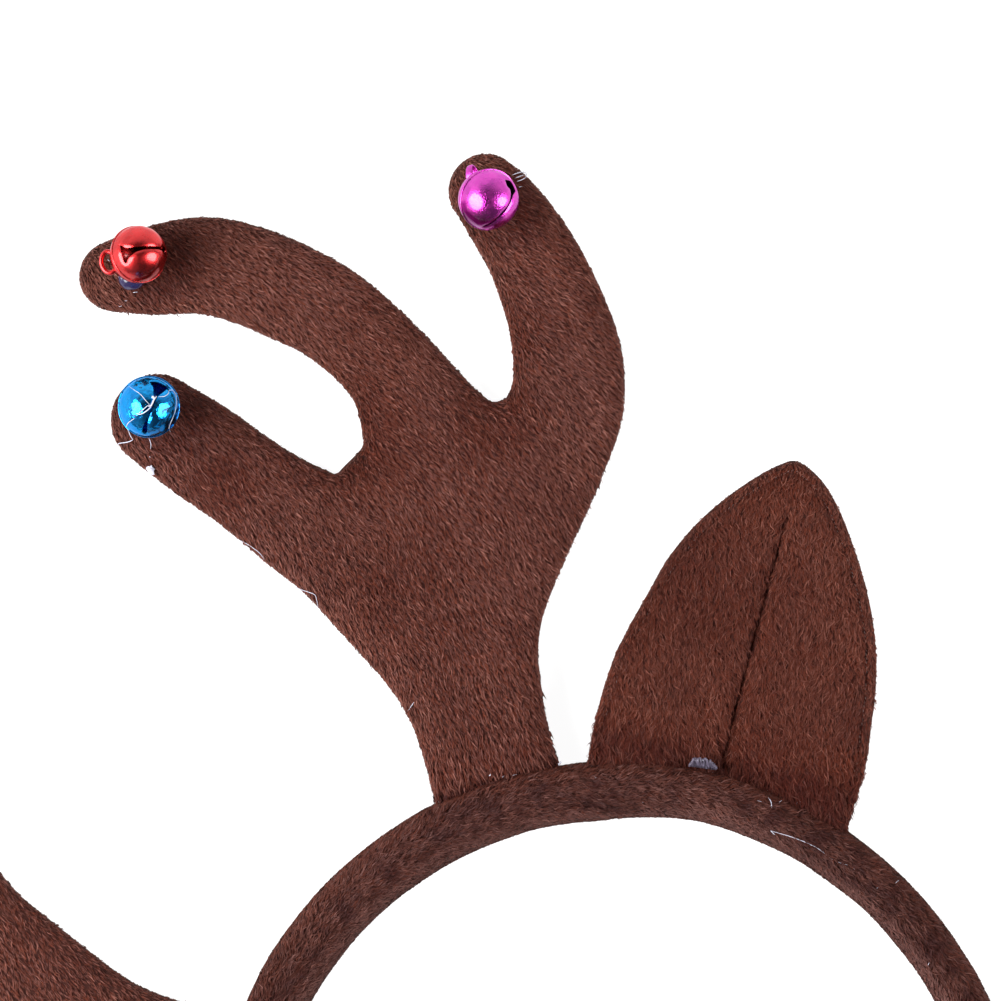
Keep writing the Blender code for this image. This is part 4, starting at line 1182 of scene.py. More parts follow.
def tube(line, radius, sides=7, flat=None, stretch=1.0, taper=0.0):
    """Closed round tube along points; radius may vary with the way along."""
    line = np.asarray(line, float)
    n = len(line)
    t = unit(np.gradient(line, axis=0))
    ref = np.array(flat if flat is not None else (0.0, 0.0, 1.0))
    verts = []
    for i in range(n):
        a = ref - t[i] * np.dot(ref, t[i])
        if np.linalg.norm(a) < 1e-6:
            a = np.array([1.0, 0.0, 0.0]) - t[i] * t[i][0]
        a = unit(a)
        b = np.cross(t[i], a)
        r = radius[i] if hasattr(radius, "__len__") else radius
        r = r * (1.0 - taper * abs(2 * i / (n - 1) - 1) ** 3)
        for k in range(sides):
            w = 2 * math.pi * k / sides
            verts.append(line[i] + r * (stretch * a * math.cos(w) + b * math.sin(w)))
    tris = []
    for i in range(n - 1):
        for k in range(sides):
            j = (k + 1) % sides
            q = (i * sides + k, i * sides + j, (i + 1) * sides + j, (i + 1) * sides + k)
            tris += [(q[0], q[1], q[2]), (q[0], q[2], q[3])]
    verts += [line[0], line[-1]]
    c0, c1 = n * sides, n * sides + 1
    for k in range(sides):
        j = (k + 1) % sides
        tris.append((c0, j, k))
        tris.append((c1, (n - 1) * sides + k, (n - 1) * sides + j))
    return np.array(verts), np.array(tris)


def seen(v):
    """Direction in the part's frame of one given right, up the picture, and out."""
    return IMAGE_RIGHT * v[0] + IMAGE_UP * v[1] + Vector((0.0, 0.0, v[2]))


def bell_matrix(position, mouth, slit):
    z = mouth.normalized()
    y = (slit - slit.dot(z) * z).normalized()
    x = y.cross(z)
    return Matrix.Translation(position) @ Matrix((x, y, z)).transposed().to_4x4()


# ----------------------------------------------------------------------- build
BAND_LINE = band_line()

# linear colours of the pile as they are seen, scaled to the light
ANTLER_PILE = pile_material("antler_pile", (0.1050, 0.0305, 0.0197), 1.05, 0.02)
EAR_PILE = pile_material("ear_pile", (0.0950, 0.0250, 0.0149), 1.05, 0.02)
BAND_PILE = pile_material("band_pile", (0.0595, 0.0186, 0.0132), 1.15, 0.02)
PLUSH_GROUND = skin_material("plush_ground", (0.036, 0.0110, 0.0078), (0.060, 0.0185, 0.0128))
METALS = {
    # colour, deep, roughness, spots, coat, edge, dents, inside_shade (painted shade inside the shell),
    # painted_dark_side (painted shade on the side mirroring the plush): side, from, to, tone
    "red": ((0.60, 0.026, 0.028), (0.42, 0.012, 0.013), 0.25, 0.35, (0.55, 1.50, 0.12),
            (0.85, 0.42, 0.44), 0.12, 0.55,
            ((0.50, -0.70, 0.45), 0.62, 0.93, (0.42, 0.34, 0.34))),
    "blue": ((0.010, 0.285, 0.68), (0.003, 0.170, 0.50), 0.15, 0.3, (0.22, 1.55, 0.07),
             (0.18, 0.62, 1.0), 0.75, 1.0,
             ((0.66, -0.62, 0.35), 0.50, 0.90, (0.30, 0.36, 0.42))),
    "pink": ((0.60, 0.046, 0.43), (0.36, 0.018, 0.29), 0.26, 1.0, (0.50, 1.62, 0.10),
             (0.80, 0.36, 0.80), 0.15, 0.50,
             ((-0.45, -0.75, 0.42), 0.60, 0.90, (0.40, 0.22, 0.34))),
}
GLUE = glue_material("clear_glue", (0.19, 0.19, 0.24), 0.80)
# the glue's violet tint, darkened as painted shade where it lies under the red bell
GLUE_DARK = glue_material("violet_glue", (0.012, 0.008, 0.040), 1.0, 0.12)
GLUE_THREAD = glue_material("glue_thread", (0.42, 0.42, 0.50), 1.0, 0.25)
GLUE_CRUMB = glue_material("glue_crumb", (0.48, 0.48, 0.56), 1.0, 0.3)
GLUE_SHARD = glue_material("glue_shard", (0.115, 0.095, 0.140), 0.72, 0.35)
STITCH = glue_material("margin_thread", (0.11, 0.055, 0.048), 1.0, 0.6)


SHARE = 1.0

def heading(deg):
    """World direction, in the plane of the part, at an angle below the picture's right."""
    a = np.radians(deg)
    return (np.outer(np.cos(a), np.array(IMAGE_RIGHT)) - np.outer(np.sin(a), np.array(IMAGE_UP)))


def antler_theta(sign):
    """Angle of the antler's pile, down the picture: it steepens towards the foot."""
    if sign > 0:
        return lambda py: np.radians(np.clip(53.0 + 0.065 * (py - 500.0), 41.0, 71.0))
    return lambda py: np.radians(np.full(np.shape(py), 57.0))


def mirror(skin):
    verts, tris = skin
    return verts * np.array([-1.0, 1.0, 1.0]), tris[:, ::-1]


def place_skin(skin, matrix, sign):
    verts, tris = skin
    placed = moved(verts, matrix), tris
    return placed if sign > 0 else mirror(placed)


antler_local = antler_skin()
ear_local = ear_skin()
M_ANTLER = foot_matrix(ANTLER_DEG, ANTLER_FOOT_R, 1)
M_EAR = foot_matrix(EAR_DEG, EAR_FOOT_R, 1)
TO_ANTLER = np.linalg.inv(np.array(M_ANTLER))
TO_EAR = np.linalg.inv(np.array(M_EAR))
FIELD = antler_chains(0.0)
stand_side = resample(antler_side(antler_chains(0.2 * MM), BAND_OUTER_R + 0.3 * MM), 1.5 * MM)
ear_edge = resample(ear_side(BAND_OUTER_R, EAR_SKIN_IN), 1.2 * MM)

# Bell centres in the antler's frame, and in the part's.
bell_spots = {}
for name, x, y, stand in BELLS:
    z = float(antler_top(np.array([[x * MM, y * MM]]), stand_side)[0]) + stand * MM
    bell_spots[name] = Vector((x * MM, y * MM, z))
bell_world = {name: M_ANTLER @ spot for name, spot in bell_spots.items()}


def local_to(p, inverse, sign):
    q = p * np.array([sign, 1.0, 1.0])
    return (q @ inverse[:3, :3].T + inverse[:3, 3])[:, :2]


def bell_shadow_mask(p, sign, radius, shift=0.0):
    """1 close to a bell's foot, 0 away from it: where the bells' painted shadows lie on the pile, moved by
    shift down and to the right of the picture.
    """
    out = np.zeros(len(p))
    for c in bell_world.values():
        x = sign * c.x + shift * (IMAGE_RIGHT.x * 0.8 - IMAGE_UP.x * 0.6)
        y = c.y + shift * (IMAGE_RIGHT.y * 0.8 - IMAGE_UP.y * 0.6)
        out = np.maximum(out, 1.0 - smoothstep(np.hypot(p[:, 0] - x, p[:, 1] - y),
                                               0.45 * radius, radius))
    return out


def crotch(p, sign):
    """1 in the two forks between the tines and at the neck, 0 away from them: where the pile takes painted
    shade.
    """
    q = local_to(p, TO_ANTLER, sign)
    out = np.zeros(len(p))
    for x, y, r in ((-7.0, 62.0, 15.0), (17.0, 58.0, 11.0), (22.0, 70.0, 9.0), (-30.0, 60.0, 7.0)):
        out = np.maximum(out, 1.0 - smoothstep(np.hypot(q[:, 0] - x * MM, q[:, 1] - y * MM),
                                               0.25 * r * MM, r * MM))
    return out


# -- antlers
for hand, sign in (("right", 1), ("left", -1)):
    skin = place_skin(antler_local, M_ANTLER, sign)
    base = add_object("antler_plush_" + hand, fast_mesh("antler_plush_" + hand, *skin), PLUSH_GROUND)
    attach(base, "root")
    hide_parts("antler_" + hand)
    theta = antler_theta(sign)

    def nap(p, n, theta=theta):
        return heading(np.degrees(theta(picture(p)[1])))

    def tint(p, n, s=sign):
        # painted light: the pile's edges lighter where they face the top left of the picture, slightly darker
        # where they face the bottom right
        lit = n @ np.array(IMAGE_UP * 0.6 - IMAGE_RIGHT * 0.8)
        edge = (0.05 + 0.13 * lit) * (1.0 - smoothstep(np.abs(n[:, 2]), 0.25, 0.85))
        # painted shade: darker at the foot against the band and in a narrow crevice there, and in the forks; a
        # little darker towards the band
        reach = np.hypot(p[:, 0], p[:, 1] - ARC_Y) - BAND_OUTER_R
        foot = (1.0 - smoothstep(reach, 0.4 * MM, 3.0 * MM)) * (0.7 + 0.5 * BROAD(p, 5 * MM))
        low = 1.0 - smoothstep(reach, 4.0 * MM, 22.0 * MM)
        px, py = picture(p)
        crevice = np.exp(-((px - 478.0) / 34.0) ** 2
                         - ((py - 785.0 + 0.283 * (px - 483.0)) / 6.5) ** 2) * (s > 0)
        # painted shadow of the bells, laid down and to the right of each
        return (0.10 * BROAD(p + 0.3, 26 * MM) + edge - 0.26 * bell_shadow_mask(p, s, 9.0 * MM, 2.6 * MM)
                - 0.12 * crotch(p, s) - 0.20 * foot - 0.05 * low - 0.45 * crevice)

    def kind(p, n, s=sign):
        # the warm run gathers in the forks and the bells' shadows as painted shade, the cool run along the
        # edges as painted rim light; the rest is patchy tone
        c = crotch(p, s)
        warm = 0.18 + 0.25 * BROAD(p + 0.6, 17 * MM) + 0.45 * c + 0.35 * bell_shadow_mask(p, s, 9.0 * MM, 2.6 * MM)
        edge = 1.0 - smoothstep(np.abs(n[:, 2]), 0.25, 0.8)
        cool = 0.30 + 0.30 * BROAD(p + 0.9, 15 * MM) + 0.5 * edge - 0.4 * c
        return np.clip(warm, 0.03, 0.9), np.clip(cool, 0.03, 0.9)

    def size(p, n, s=sign):
        reach = np.hypot(p[:, 0], p[:, 1] - ARC_Y) - BAND_OUTER_R
        return 1.0 + 0.35 * (1.0 - smoothstep(reach, 3.0 * MM, 14.0 * MM))

    for face, count, seed in (("front", 90000 if sign > 0 else 54000, 101), ("back", 14000, 102)):
        want = 1.0 if face == "front" else -1.0

        def keep(p, n, w=want):
            if w > 0:
                return smoothstep(n[:, 2], -0.25, 0.15) * (1.0 + 0.7 * (1 - smoothstep(n[:, 2], 0.2, 0.8)))
            return 1.0 - smoothstep(n[:, 2], -0.25, 0.1)

        fur = grow("antler_pile_%s_%s" % (face, hand), skin, int(count * SHARE), seed + sign,
                   ANTLER_PILE, (1.22 if face == "front" else 1.5) * MM,
                   (0.172 if face == "front" else 0.36) * MM, (17.0, 6.0),
                   nap, keep, tint, wave=(7.0, 13.0), wave_cell=(7.0, 1.4), bow=0.09,
                   rows=(lambda p, theta=theta: knit(p, theta, 6.9, 10.5, 0.6, 7), 0.22, 0.28),
                   spread=9.0, scale=size, kind=kind, edge_short=0.42, guard=(0.05, 1.5, 0.80))
        fur.parent = base

# -- ears
for hand, sign in (("right", 1), ("left", -1)):
    skin = place_skin(ear_local, M_EAR, sign)
    base = add_object("ear_plush_" + hand, fast_mesh("ear_plush_" + hand, *skin), PLUSH_GROUND)
    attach(base, "root")
    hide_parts("ear_" + hand)

    def nap(p, n, s=sign):
        d = heading(90.0 + 7.0 * CURL(p + 0.2, 14 * MM))
        return d if s > 0 else d * np.array([-1.0, 1.0, 1.0])

    def crease_off(q):
        high = smoothstep(q[:, 1], 41.0 * MM, 46.0 * MM)
        return np.abs(q[:, 0] - crease_x(q[:, 1])) + 1.2 * MM * high

    def size(p, n, s=sign):
        q = local_to(p, TO_EAR, s)
        d = polyline_distance(q, ear_edge)
        deep = 0.15 + 0.40 * smoothstep(q[:, 0], -4.0 * MM, 8.0 * MM)
        groove = 1.0 - deep * (1.0 - smoothstep(np.abs(d - 1.6 * MM), 0.05 * MM, 0.8 * MM))
        fold = 0.55 + 0.45 * smoothstep(crease_off(q), 0.2 * MM, 0.9 * MM)
        foot = 1.0 + 0.5 * (1.0 - smoothstep(q[:, 1], 2.0 * MM, 9.0 * MM))
        return groove * fold * foot * np.where(d < 1.4 * MM, 0.75, 1.0)

    def tint(p, n, s=sign):
        q = local_to(p, TO_EAR, s)
        d = polyline_distance(q, ear_edge)
        # painted shade in the groove along the margin, strongest on the right side; painted light along the
        # rim
        groove = np.exp(-((d - 1.65 * MM) / (0.28 * MM)) ** 2)
        side = smoothstep(q[:, 0], -6.0 * MM, 8.0 * MM) \
            + 0.5 * (1.0 - smoothstep(q[:, 1], 12 * MM, 20 * MM)) + 0.6 * smoothstep(q[:, 1], 44 * MM, 49 * MM)
        rim = 1.0 - smoothstep(d, 0.1 * MM, 0.9 * MM)
        # painted shade in the centre crease, wider on its left, and a painted highlight just right of it
        off = crease_off(q)
        left = q[:, 0] < crease_x(q[:, 1])
        fold = 0.30 * np.exp(-(off / np.where(left, 1.05 * MM, 0.42 * MM)) ** 2) \
            + 0.16 * np.exp(-(off / (0.26 * MM)) ** 2) \
            - 0.09 * np.where(left, 0.0, np.exp(-((off - 1.1 * MM) / (0.5 * MM)) ** 2))
        # painted shade at the foot, next to the band
        foot = 1.0 - smoothstep(q[:, 1], 1.0 * MM, 8.0 * MM)
        return (0.10 * BROAD(p + 0.3, 20 * MM) - 0.22 * groove * np.clip(side, 0.12, 1) + 0.14 * rim
                - fold - 0.40 * foot)

    def kind(p, n, s=sign):
        q = local_to(p, TO_EAR, s)
        d = polyline_distance(q, ear_edge)
        warm = 0.34 + 0.30 * BROAD(p + 0.6, 10 * MM) + 0.45 * (1.0 - smoothstep(q[:, 1], 3 * MM, 11 * MM))
        # the cool run gathers at the rim as painted rim light
        cool = 0.14 + 0.18 * BROAD(p + 0.9, 9 * MM) + 0.35 * (1.0 - smoothstep(d, 0.2 * MM, 1.4 * MM))
        return np.clip(warm, 0.03, 0.9), np.clip(cool, 0.02, 0.8)

    for face, count, seed in (("front", 54000 if sign > 0 else 32000, 201), ("back", 7000, 202)):
        want = 1.0 if face == "front" else -1.0

        def keep(p, n, w=want, s=sign):
            if w > 0:
                q = local_to(p, TO_EAR, s)
                open_ = 0.65 + 0.35 * smoothstep(crease_off(q), 0.15 * MM, 0.45 * MM)
                return smoothstep(n[:, 2], -0.25, 0.15) * open_
            return 1.0 - smoothstep(n[:, 2], -0.25, 0.1)

        fur = grow("ear_pile_%s_%s" % (face, hand), skin, int(count * SHARE), seed + sign, EAR_PILE,
                   (1.36 if face == "front" else 1.4) * MM, (0.146 if face == "front" else 0.34) * MM,
                   (15.0, 7.0), nap, keep, tint, wave=(14.0, 36.0), wave_cell=(5.0, 0.9), bow=0.26,
                   rows=(lambda p: knit(p, lambda y: np.radians(np.full(np.shape(y), 88.0)), 5.2, 7.6,
                                        1.0, 9), 0.26, 0.38),
                   spread=11.0, scale=size, kind=kind, edge_short=0.4, guard=(0.07, 1.35, 0.74))
        fur.parent = base

# -- band
skin = band_skin()
base = add_object("headband_plush", fast_mesh("headband_plush", *skin), PLUSH_GROUND)
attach(base, "root")
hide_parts("headband")
BLOTCH = Noise(51)


def band_across(p):
    out, along, deg = band_frame(p)
    thick = np.interp(np.abs(deg), column(BAND_THICKNESS, 0), column(BAND_THICKNESS, 1)) * MM
    r = np.hypot(p[:, 0], p[:, 1] - ARC_Y)
    over = np.abs(deg) > ARC_HALF_DEG
    across = r - (BAND_OUTER_R - thick / 2)
    if over.any():
        q = p[over]
        best = np.argmin((q[:, None, 0] - BAND_LINE[None, :, 0]) ** 2
                         + (q[:, None, 1] - BAND_LINE[None, :, 1]) ** 2, axis=1)
        row = BAND_LINE[best]
        across[over] = (q[:, 0] - row[:, 0]) * row[:, 2] + (q[:, 1] - row[:, 1]) * row[:, 3]
    return across, out, along, deg


def band_zones(p, n):
    """Shares of the rim, middle and inner runs of pile at points, and the slots."""
    across, out, along, deg = band_across(p)
    seam = np.interp(deg, column(BAND_SEAM, 0), column(BAND_SEAM, 1)) * MM
    wander = 0.7 * MM * BLOTCH(p, 4.5 * MM)
    top = smoothstep(n[:, 2], -0.3, 0.3)
    inner = smoothstep(seam - across + wander, -0.5 * MM, 1.3 * MM)
    rim = smoothstep(across + wander, 1.3 * MM, 3.4 * MM)
    middle = np.clip(1.0 - inner - rim, 0, 1) * top
    slot = np.exp(-((across - seam) / (0.55 * MM)) ** 2) * top * np.exp(-((deg - 43.5) / 3.6) ** 4)
    return inner, rim, middle, slot, out, along, across


def band_nap(p, n):
    inner, rim, middle, slot, out, along, across = band_zones(p, n)
    lean = 0.38 * rim - 0.36 * inner
    lean = lean * smoothstep(n[:, 2], -0.4, 0.3)
    return along + out * lean[:, None]


def band_clumps(p):
    """Slanting locks of pile along the band: place across them, and how open the gap is."""
    across, out, along, deg = band_across(p)
    run = np.radians(deg) * BAND_OUTER_R
    phase = (across + 0.16 * run * np.sign(across + 1.0 * MM)) / (1.15 * MM) \
        + 0.95 * BLOTCH(p + 0.15, 4.5 * MM) + 0.35 * BLOTCH(p + 0.55, 1.6 * MM)
    gap = np.floor(phase)
    table = np.random.default_rng(15).random(4096)
    place = run / (3.4 * MM) + 7.0 * table[gap.astype(int) & 4095] + 0.6 * BREAK(p, 3.5 * MM)
    size = 0.5 + 0.5 * np.cos(2 * math.pi * place) + 0.5 * BREAK(p + 0.31, 2.6 * MM)
    return phase, smoothstep(size, 0.25, 0.85)


def band_tint(p, n):
    inner, rim, middle, slot, out, along, across = band_zones(p, n)
    blotch = BLOTCH(p + 0.3, 2.4 * MM) + 0.7 * BLOTCH(p + 0.7, 1.1 * MM)
    # painted light and shade of the round band: lighter on the inner side and outer rim, darker in the middle,
    # and painted shade in the seam's slot; the blotches are tone
    return (0.21 * inner + 0.05 * rim - 0.19 * middle - 0.40 * slot
            + (0.08 + 0.24 * middle) * blotch + 0.06 * BROAD(p, 14 * MM))


def band_kind(p, n):
    inner, rim, middle, slot, out, along, across = band_zones(p, n)
    # the hue follows the painted light: warmer on the outer rim, cooler and greyer on the inner side
    warm = 0.20 + 0.55 * rim - 0.18 * inner
    cool = 0.14 + 0.70 * inner + 0.05 * middle
    return np.clip(warm, 0.02, 0.9), np.clip(cool, 0.02, 0.9)


def band_size(p, n):
    inner, rim, middle, slot, out, along, across = band_zones(p, n)
    return 1.0 - 0.15 * inner + 0.06 * rim - 0.3 * slot


def band_rise(p, n):
    inner, rim, middle, slot, out, along, across = band_zones(p, n)
    return 5.0 * rim - 6.0 * inner + 3.0 * middle


for part, count, seed in (("front_right", 70000, 301), ("front_left", 42000, 302),
                          ("back", 16000, 303)):
    def keep(p, n, part=part):
        facing = smoothstep(n[:, 2], -0.45, -0.05)
        if part == "back":
            return 1.0 - facing
        half = (p[:, 0] >= 0) if part == "front_right" else (p[:, 0] < 0)
        crown = smoothstep(p[:, 1], -0.10, -0.02) * 0.6 + 0.4
        return facing * half * crown

    fur = grow("band_pile_" + part, skin, int(count * SHARE), seed, BAND_PILE, 1.55 * MM,
               (0.162 if part != "back" else 0.40) * MM, (15.0, 7.0), band_nap, keep, band_tint,
               wave=(14.0, 26.0), wave_cell=(5.0, 1.2), bow=0.24, spread=11.0, scale=band_size,
               rise=band_rise, kind=band_kind, edge_short=0.55,
               rows=(band_clumps, 0.34, 0.8), guard=(0.05, 1.2, 0.78))
    fur.parent = base

# -- bells
for name, x, y, stand in BELLS:
    mouth, slit, scale = BELL_POSE[name]
    metal = metal_material("bell_metal_" + name, *METALS[name], bell_world[name], scale)
    verts, tris = bell_parts(BELL_HOLES[name], 0.08 if name == "red" else 0.03,
                             0.09 if name == "blue" else 0.05)
    matrix = bell_matrix(bell_world[name], seen(mouth), seen(slit))
    placed = moved(verts * scale, matrix)
    axes = Matrix((IMAGE_RIGHT, IMAGE_UP, Vector((0, 0, 1)))).transposed().to_4x4()
    lv, lt = loop_parts(*BELL_LOOP[name], mouth)
    loop = moved(lv, Matrix.Translation(bell_world[name]) @ axes)
    shape = (np.vstack([placed, loop]), np.vstack([tris, lt + len(placed)]))
    for hand, sign in (("right", 1), ("left", -1)):
        v, t = shape if sign > 0 else mirror(shape)
        mesh = fast_mesh("jingle_%s_%s" % (name, hand), v, t)
        mesh.set_sharp_from_angle(angle=math.radians(38.0))
        obj = add_object("jingle_%s_%s" % (name, hand), mesh, metal)
        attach(obj, "root")
        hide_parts("bell_%s_%s" % (name, hand))


# -- glue
def blob(centre, radii, turn, seed, lumps=0.16, segments=40, rings=22):
    """Lumpy rounded drop as arrays."""
    n = Noise(seed)
    verts, tris = lathe([(math.sin(math.pi * i / rings) if i % rings else 0.0,
                          math.cos(math.pi * i / rings)) for i in range(rings + 1)], segments)
    bump = 1.0 + lumps * n(verts + 3.0, 0.9) + 0.5 * lumps * n(verts + 1.0, 0.4)
    verts = verts * bump[:, None] * np.array(radii)
    c, s = math.cos(turn), math.sin(turn)
    verts = verts @ np.array([[c, s, 0], [-s, c, 0], [0, 0, 1]])
    return verts + np.array(centre), tris


def put_pair(name, shape, material, replaces=None):
    """The right-hand piece and its mirror image; shape is in the part's frame."""
    for hand, sign in (("right", 1), ("left", -1)):
        v, t = shape if sign > 0 else mirror(shape)
        obj = add_object("%s_%s" % (name, hand), fast_mesh("%s_%s" % (name, hand), v, t), material)
        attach(obj, "root")
        if replaces:
            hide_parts("%s_%s" % (replaces, hand))


for name in ("red", "blue", "pink"):
    c = bell_spots[name]
    foot = float(antler_top(np.array([[c.x, c.y]]), stand_side)[0])
    if name == "red":
        x, y = photo_xy(132.5, 275.0)
        centre, radii, mat = (x, y, foot + 0.7 * MM), (2.75 * MM, 2.3 * MM, 1.5 * MM), GLUE_DARK
    else:
        w = M_ANTLER @ Vector((c.x, c.y, foot + 0.1 * MM))
        centre, mat = tuple(w), GLUE
        radii = (3.0 * MM, 3.0 * MM, (2.6 if name == "blue" else 1.4) * MM)
    put_pair("glue_%s_blob" % name, blob(centre, radii, 0.4, 41 + len(name), 0.10), mat,
             "glue_" + name)


def ground(x, y):
    """Height of the pile's top, or of a bell, over a place on the part."""
    p = np.array([[x, y]])
    best = 0.0
    q = local_to(p_3(p), TO_ANTLER, 1)
    if antler_field(q, FIELD)[0] < 0.4 * MM and np.hypot(x, y - ARC_Y) > BAND_OUTER_R:
        best = max(best, float(antler_top(q, stand_side)[0]) + 0.25 * MM)
    e = local_to(p_3(p), TO_EAR, 1)
    if polyline_distance(e, ear_edge)[0] > 0 and inside(e, ear_edge)[0]:
        mid, half, shape, _ = ear_heights(e, polyline_distance(e, ear_edge))
        best = max(best, float((mid + half + shape)[0]) + 0.25 * MM)
    across = abs(math.hypot(x, y - ARC_Y) - (BAND_OUTER_R - 4.6 * MM))
    if across < 5.0 * MM:
        best = max(best, BAND_DEPTH / 2 + 6.0 * MM * (1 - (across / (5.0 * MM)) ** 2.5) ** 0.4)
    for c in bell_world.values():
        d = math.hypot(x - c.x, y - c.y)
        if d < 4.9 * MM:
            best = max(best, c.z + math.sqrt((4.95 * MM) ** 2 - d * d))
    return best


def p_3(p):
    return np.column_stack([p, np.zeros(len(p))])


def thread(points, radius, lift=0.05, close=3.0):
    """Thin set strand lying over the part, through pixels of the photograph."""
    line = spline([(px, py) for px, py in points], 4)
    line = resample(line, close)
    out = []
    for px, py in line:
        x, y = photo_xy(px, py)
        out.append((x, y, ground(x, y) + lift * MM))
    out = np.array(out)
    if len(out) > 4:
        out[1:-1, 2] = np.maximum(out[1:-1, 2], 0.5 * (out[:-2, 2] + out[2:, 2]))
    return tube(out, radius * MM, 6, taper=0.45)


THREADS = [
    # pixels across and down, radius_mm
    ([(131, 387), (137, 391), (143, 395), (148, 401), (152, 405)], 0.055),
    ([(152, 405), (147, 409), (141, 414.5)], 0.075),
    ([(154.5, 406), (150, 411), (143, 415), (139, 414)], 0.10),
    ([(159, 397), (156, 401), (154, 406), (151, 407)], 0.15),
    ([(161, 397.5), (167, 397), (170.5, 394), (171, 391)], 0.065),
    ([(171, 391), (174, 390.5), (177.5, 395), (178.3, 401), (177.4, 410), (176.3, 414)], 0.075),
    ([(176.3, 414), (173.6, 421), (171, 427), (170.4, 432)], 0.06),
    ([(137, 419), (131.5, 422.5), (128.5, 426), (128.7, 431), (130.4, 436), (133, 439.8)], 0.07),
    ([(133, 439.8), (129, 441.6), (124.5, 442.6), (119, 443.2), (116, 445)], 0.085),
    ([(149, 438), (151, 444), (150.5, 449)], 0.05),
    ([(512, 175), (518, 172.6), (524.0, 171.4), (527.0, 174.4), (524.3, 178.3), (517, 181.3)], 0.075),
    ([(515, 178), (519.5, 176.2), (524, 174.6)], 0.06),
    ([(519, 187), (522, 186.2)], 0.06),
    ([(239, 540), (245, 543.2), (250, 546), (260, 553.6), (264, 560)], 0.055),
    ([(288, 584), (300, 589.4), (308, 592), (315, 595), (317, 602), (318, 609)], 0.055),
    ([(408, 711), (411, 706.4), (414, 702)], 0.05),
    ([(770, 830), (779, 832.6), (789, 835.5), (806, 842), (819, 848.8), (829, 857), (842, 863)], 0.055),
    ([(842, 863), (849, 865), (856, 870.5), (860, 876)], 0.04),
    ([(770, 830), (774, 834)], 0.05),
    ([(875.6, 887.8), (878.4, 885), (880.8, 882)], 0.05),
    ([(894, 882.7), (896.2, 881), (898, 879.5)], 0.05),
    ([(768, 797), (770.6, 801.5), (771, 807)], 0.06),
    ([(796, 804), (797.6, 801), (801, 801.6)], 0.09),
    ([(781, 800), (778.4, 802)], 0.07),
    ([(757, 800), (761, 801)], 0.04),
    ([(133, 292.6), (137.4, 292)], 0.09), ([(125, 301), (127, 300.4)], 0.07),
    ([(118.6, 306.4), (121.4, 305.8)], 0.06), ([(107.6, 259.6), (110, 261.2)], 0.08), ([(118.5, 276.5), (121.5, 279.6), (125.5, 281.6)], 0.10),
    ([(594, 776), (596, 777)], 0.05), ([(641, 801), (643.4, 801.6)], 0.05),
    ([(927, 964), (928, 961.6)], 0.07), ([(513, 775), (517, 774)], 0.035),
    ([(502, 776.6), (504, 775.6)], 0.04), ([(149.4, 456.4), (150.2, 457.4)], 0.07),
]
parts, start = ([], []), 0
for points, radius in THREADS:
    v, t = thread(points, radius)
    parts[0].append(v)
    parts[1].append(t + start)
    start += len(v)
obj = add_object("glue_threads", fast_mesh("glue_threads", np.vstack(parts[0]), np.vstack(parts[1])),
                 GLUE_THREAD)
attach(obj, "root")


def crumb(px, py, radii, seed, lift=0.3, turn=0.0):
    x, y = photo_xy(px, py)
    return blob((x, y, ground(x, y) + lift * MM), tuple(r * MM for r in radii), turn, seed, 0.9, 22, 12)


parts, start = ([], []), 0
for v, t in (crumb(150.6, 470.0, (0.46, 0.52, 0.34), 71), crumb(149.6, 467.0, (0.26, 0.24, 0.2), 72),
             crumb(560.0, 763.5, (0.30, 0.16, 0.15), 73), crumb(156.0, 398.5, (0.17, 0.26, 0.12), 74, 0.05),
             crumb(490.0, 774.5, (0.15, 0.08, 0.08), 75)):
    parts[0].append(v)
    parts[1].append(t + start)
    start += len(v)
obj = add_object("glue_crumbs", fast_mesh("glue_crumbs", np.vstack(parts[0]), np.vstack(parts[1])),
                 GLUE_CRUMB)
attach(obj, "root")


def shard():
    """Torn lip of glue standing between the band and the right ear."""
    profile = [
        # pixels across and down along its torn top edge
        (689.5, 765.5), (691.5, 761.6), (694.4, 758.0), (696.6, 760.2), (699.4, 757.4), (702.2, 759.4),
        (704.6, 758.2), (707.0, 760.8), (709.6, 759.8), (712.0, 762.6), (714.2, 764.6), (715.8, 768.5),
    ]
    top = spline(profile, 3)
    n = len(top)
    rough = np.random.default_rng(8).random((n, 4)) - 0.5
    verts = []
    for i, (px, py) in enumerate(top):
        x, y = photo_xy(px, py)
        px2, py2 = px + 0.3, 766.4 + 0.14 * (px - 690.0)
        x2, y2 = photo_xy(px2, py2)
        for k, f in enumerate((0.0, 0.33, 0.66, 1.0)):
            z = 10.5 * MM - 1.3 * MM * f + 0.9 * MM * rough[i, k]
            verts.append((x + (x2 - x) * f, y + (y2 - y) * f, z))
    verts = np.array(verts)
    tris = []
    for i in range(n - 1):
        for k in range(3):
            a, b = i * 4 + k, (i + 1) * 4 + k
            tris += [(a, a + 1, b + 1), (a, b + 1, b)]
    tris = np.array(tris)
    if np.cross(verts[tris[0, 1]] - verts[tris[0, 0]], verts[tris[0, 2]] - verts[tris[0, 0]])[2] < 0:
        tris = tris[:, ::-1]
    return thicken(verts, tris, 0.28 * MM)


put_pair("glue_shard", shard(), GLUE_SHARD)


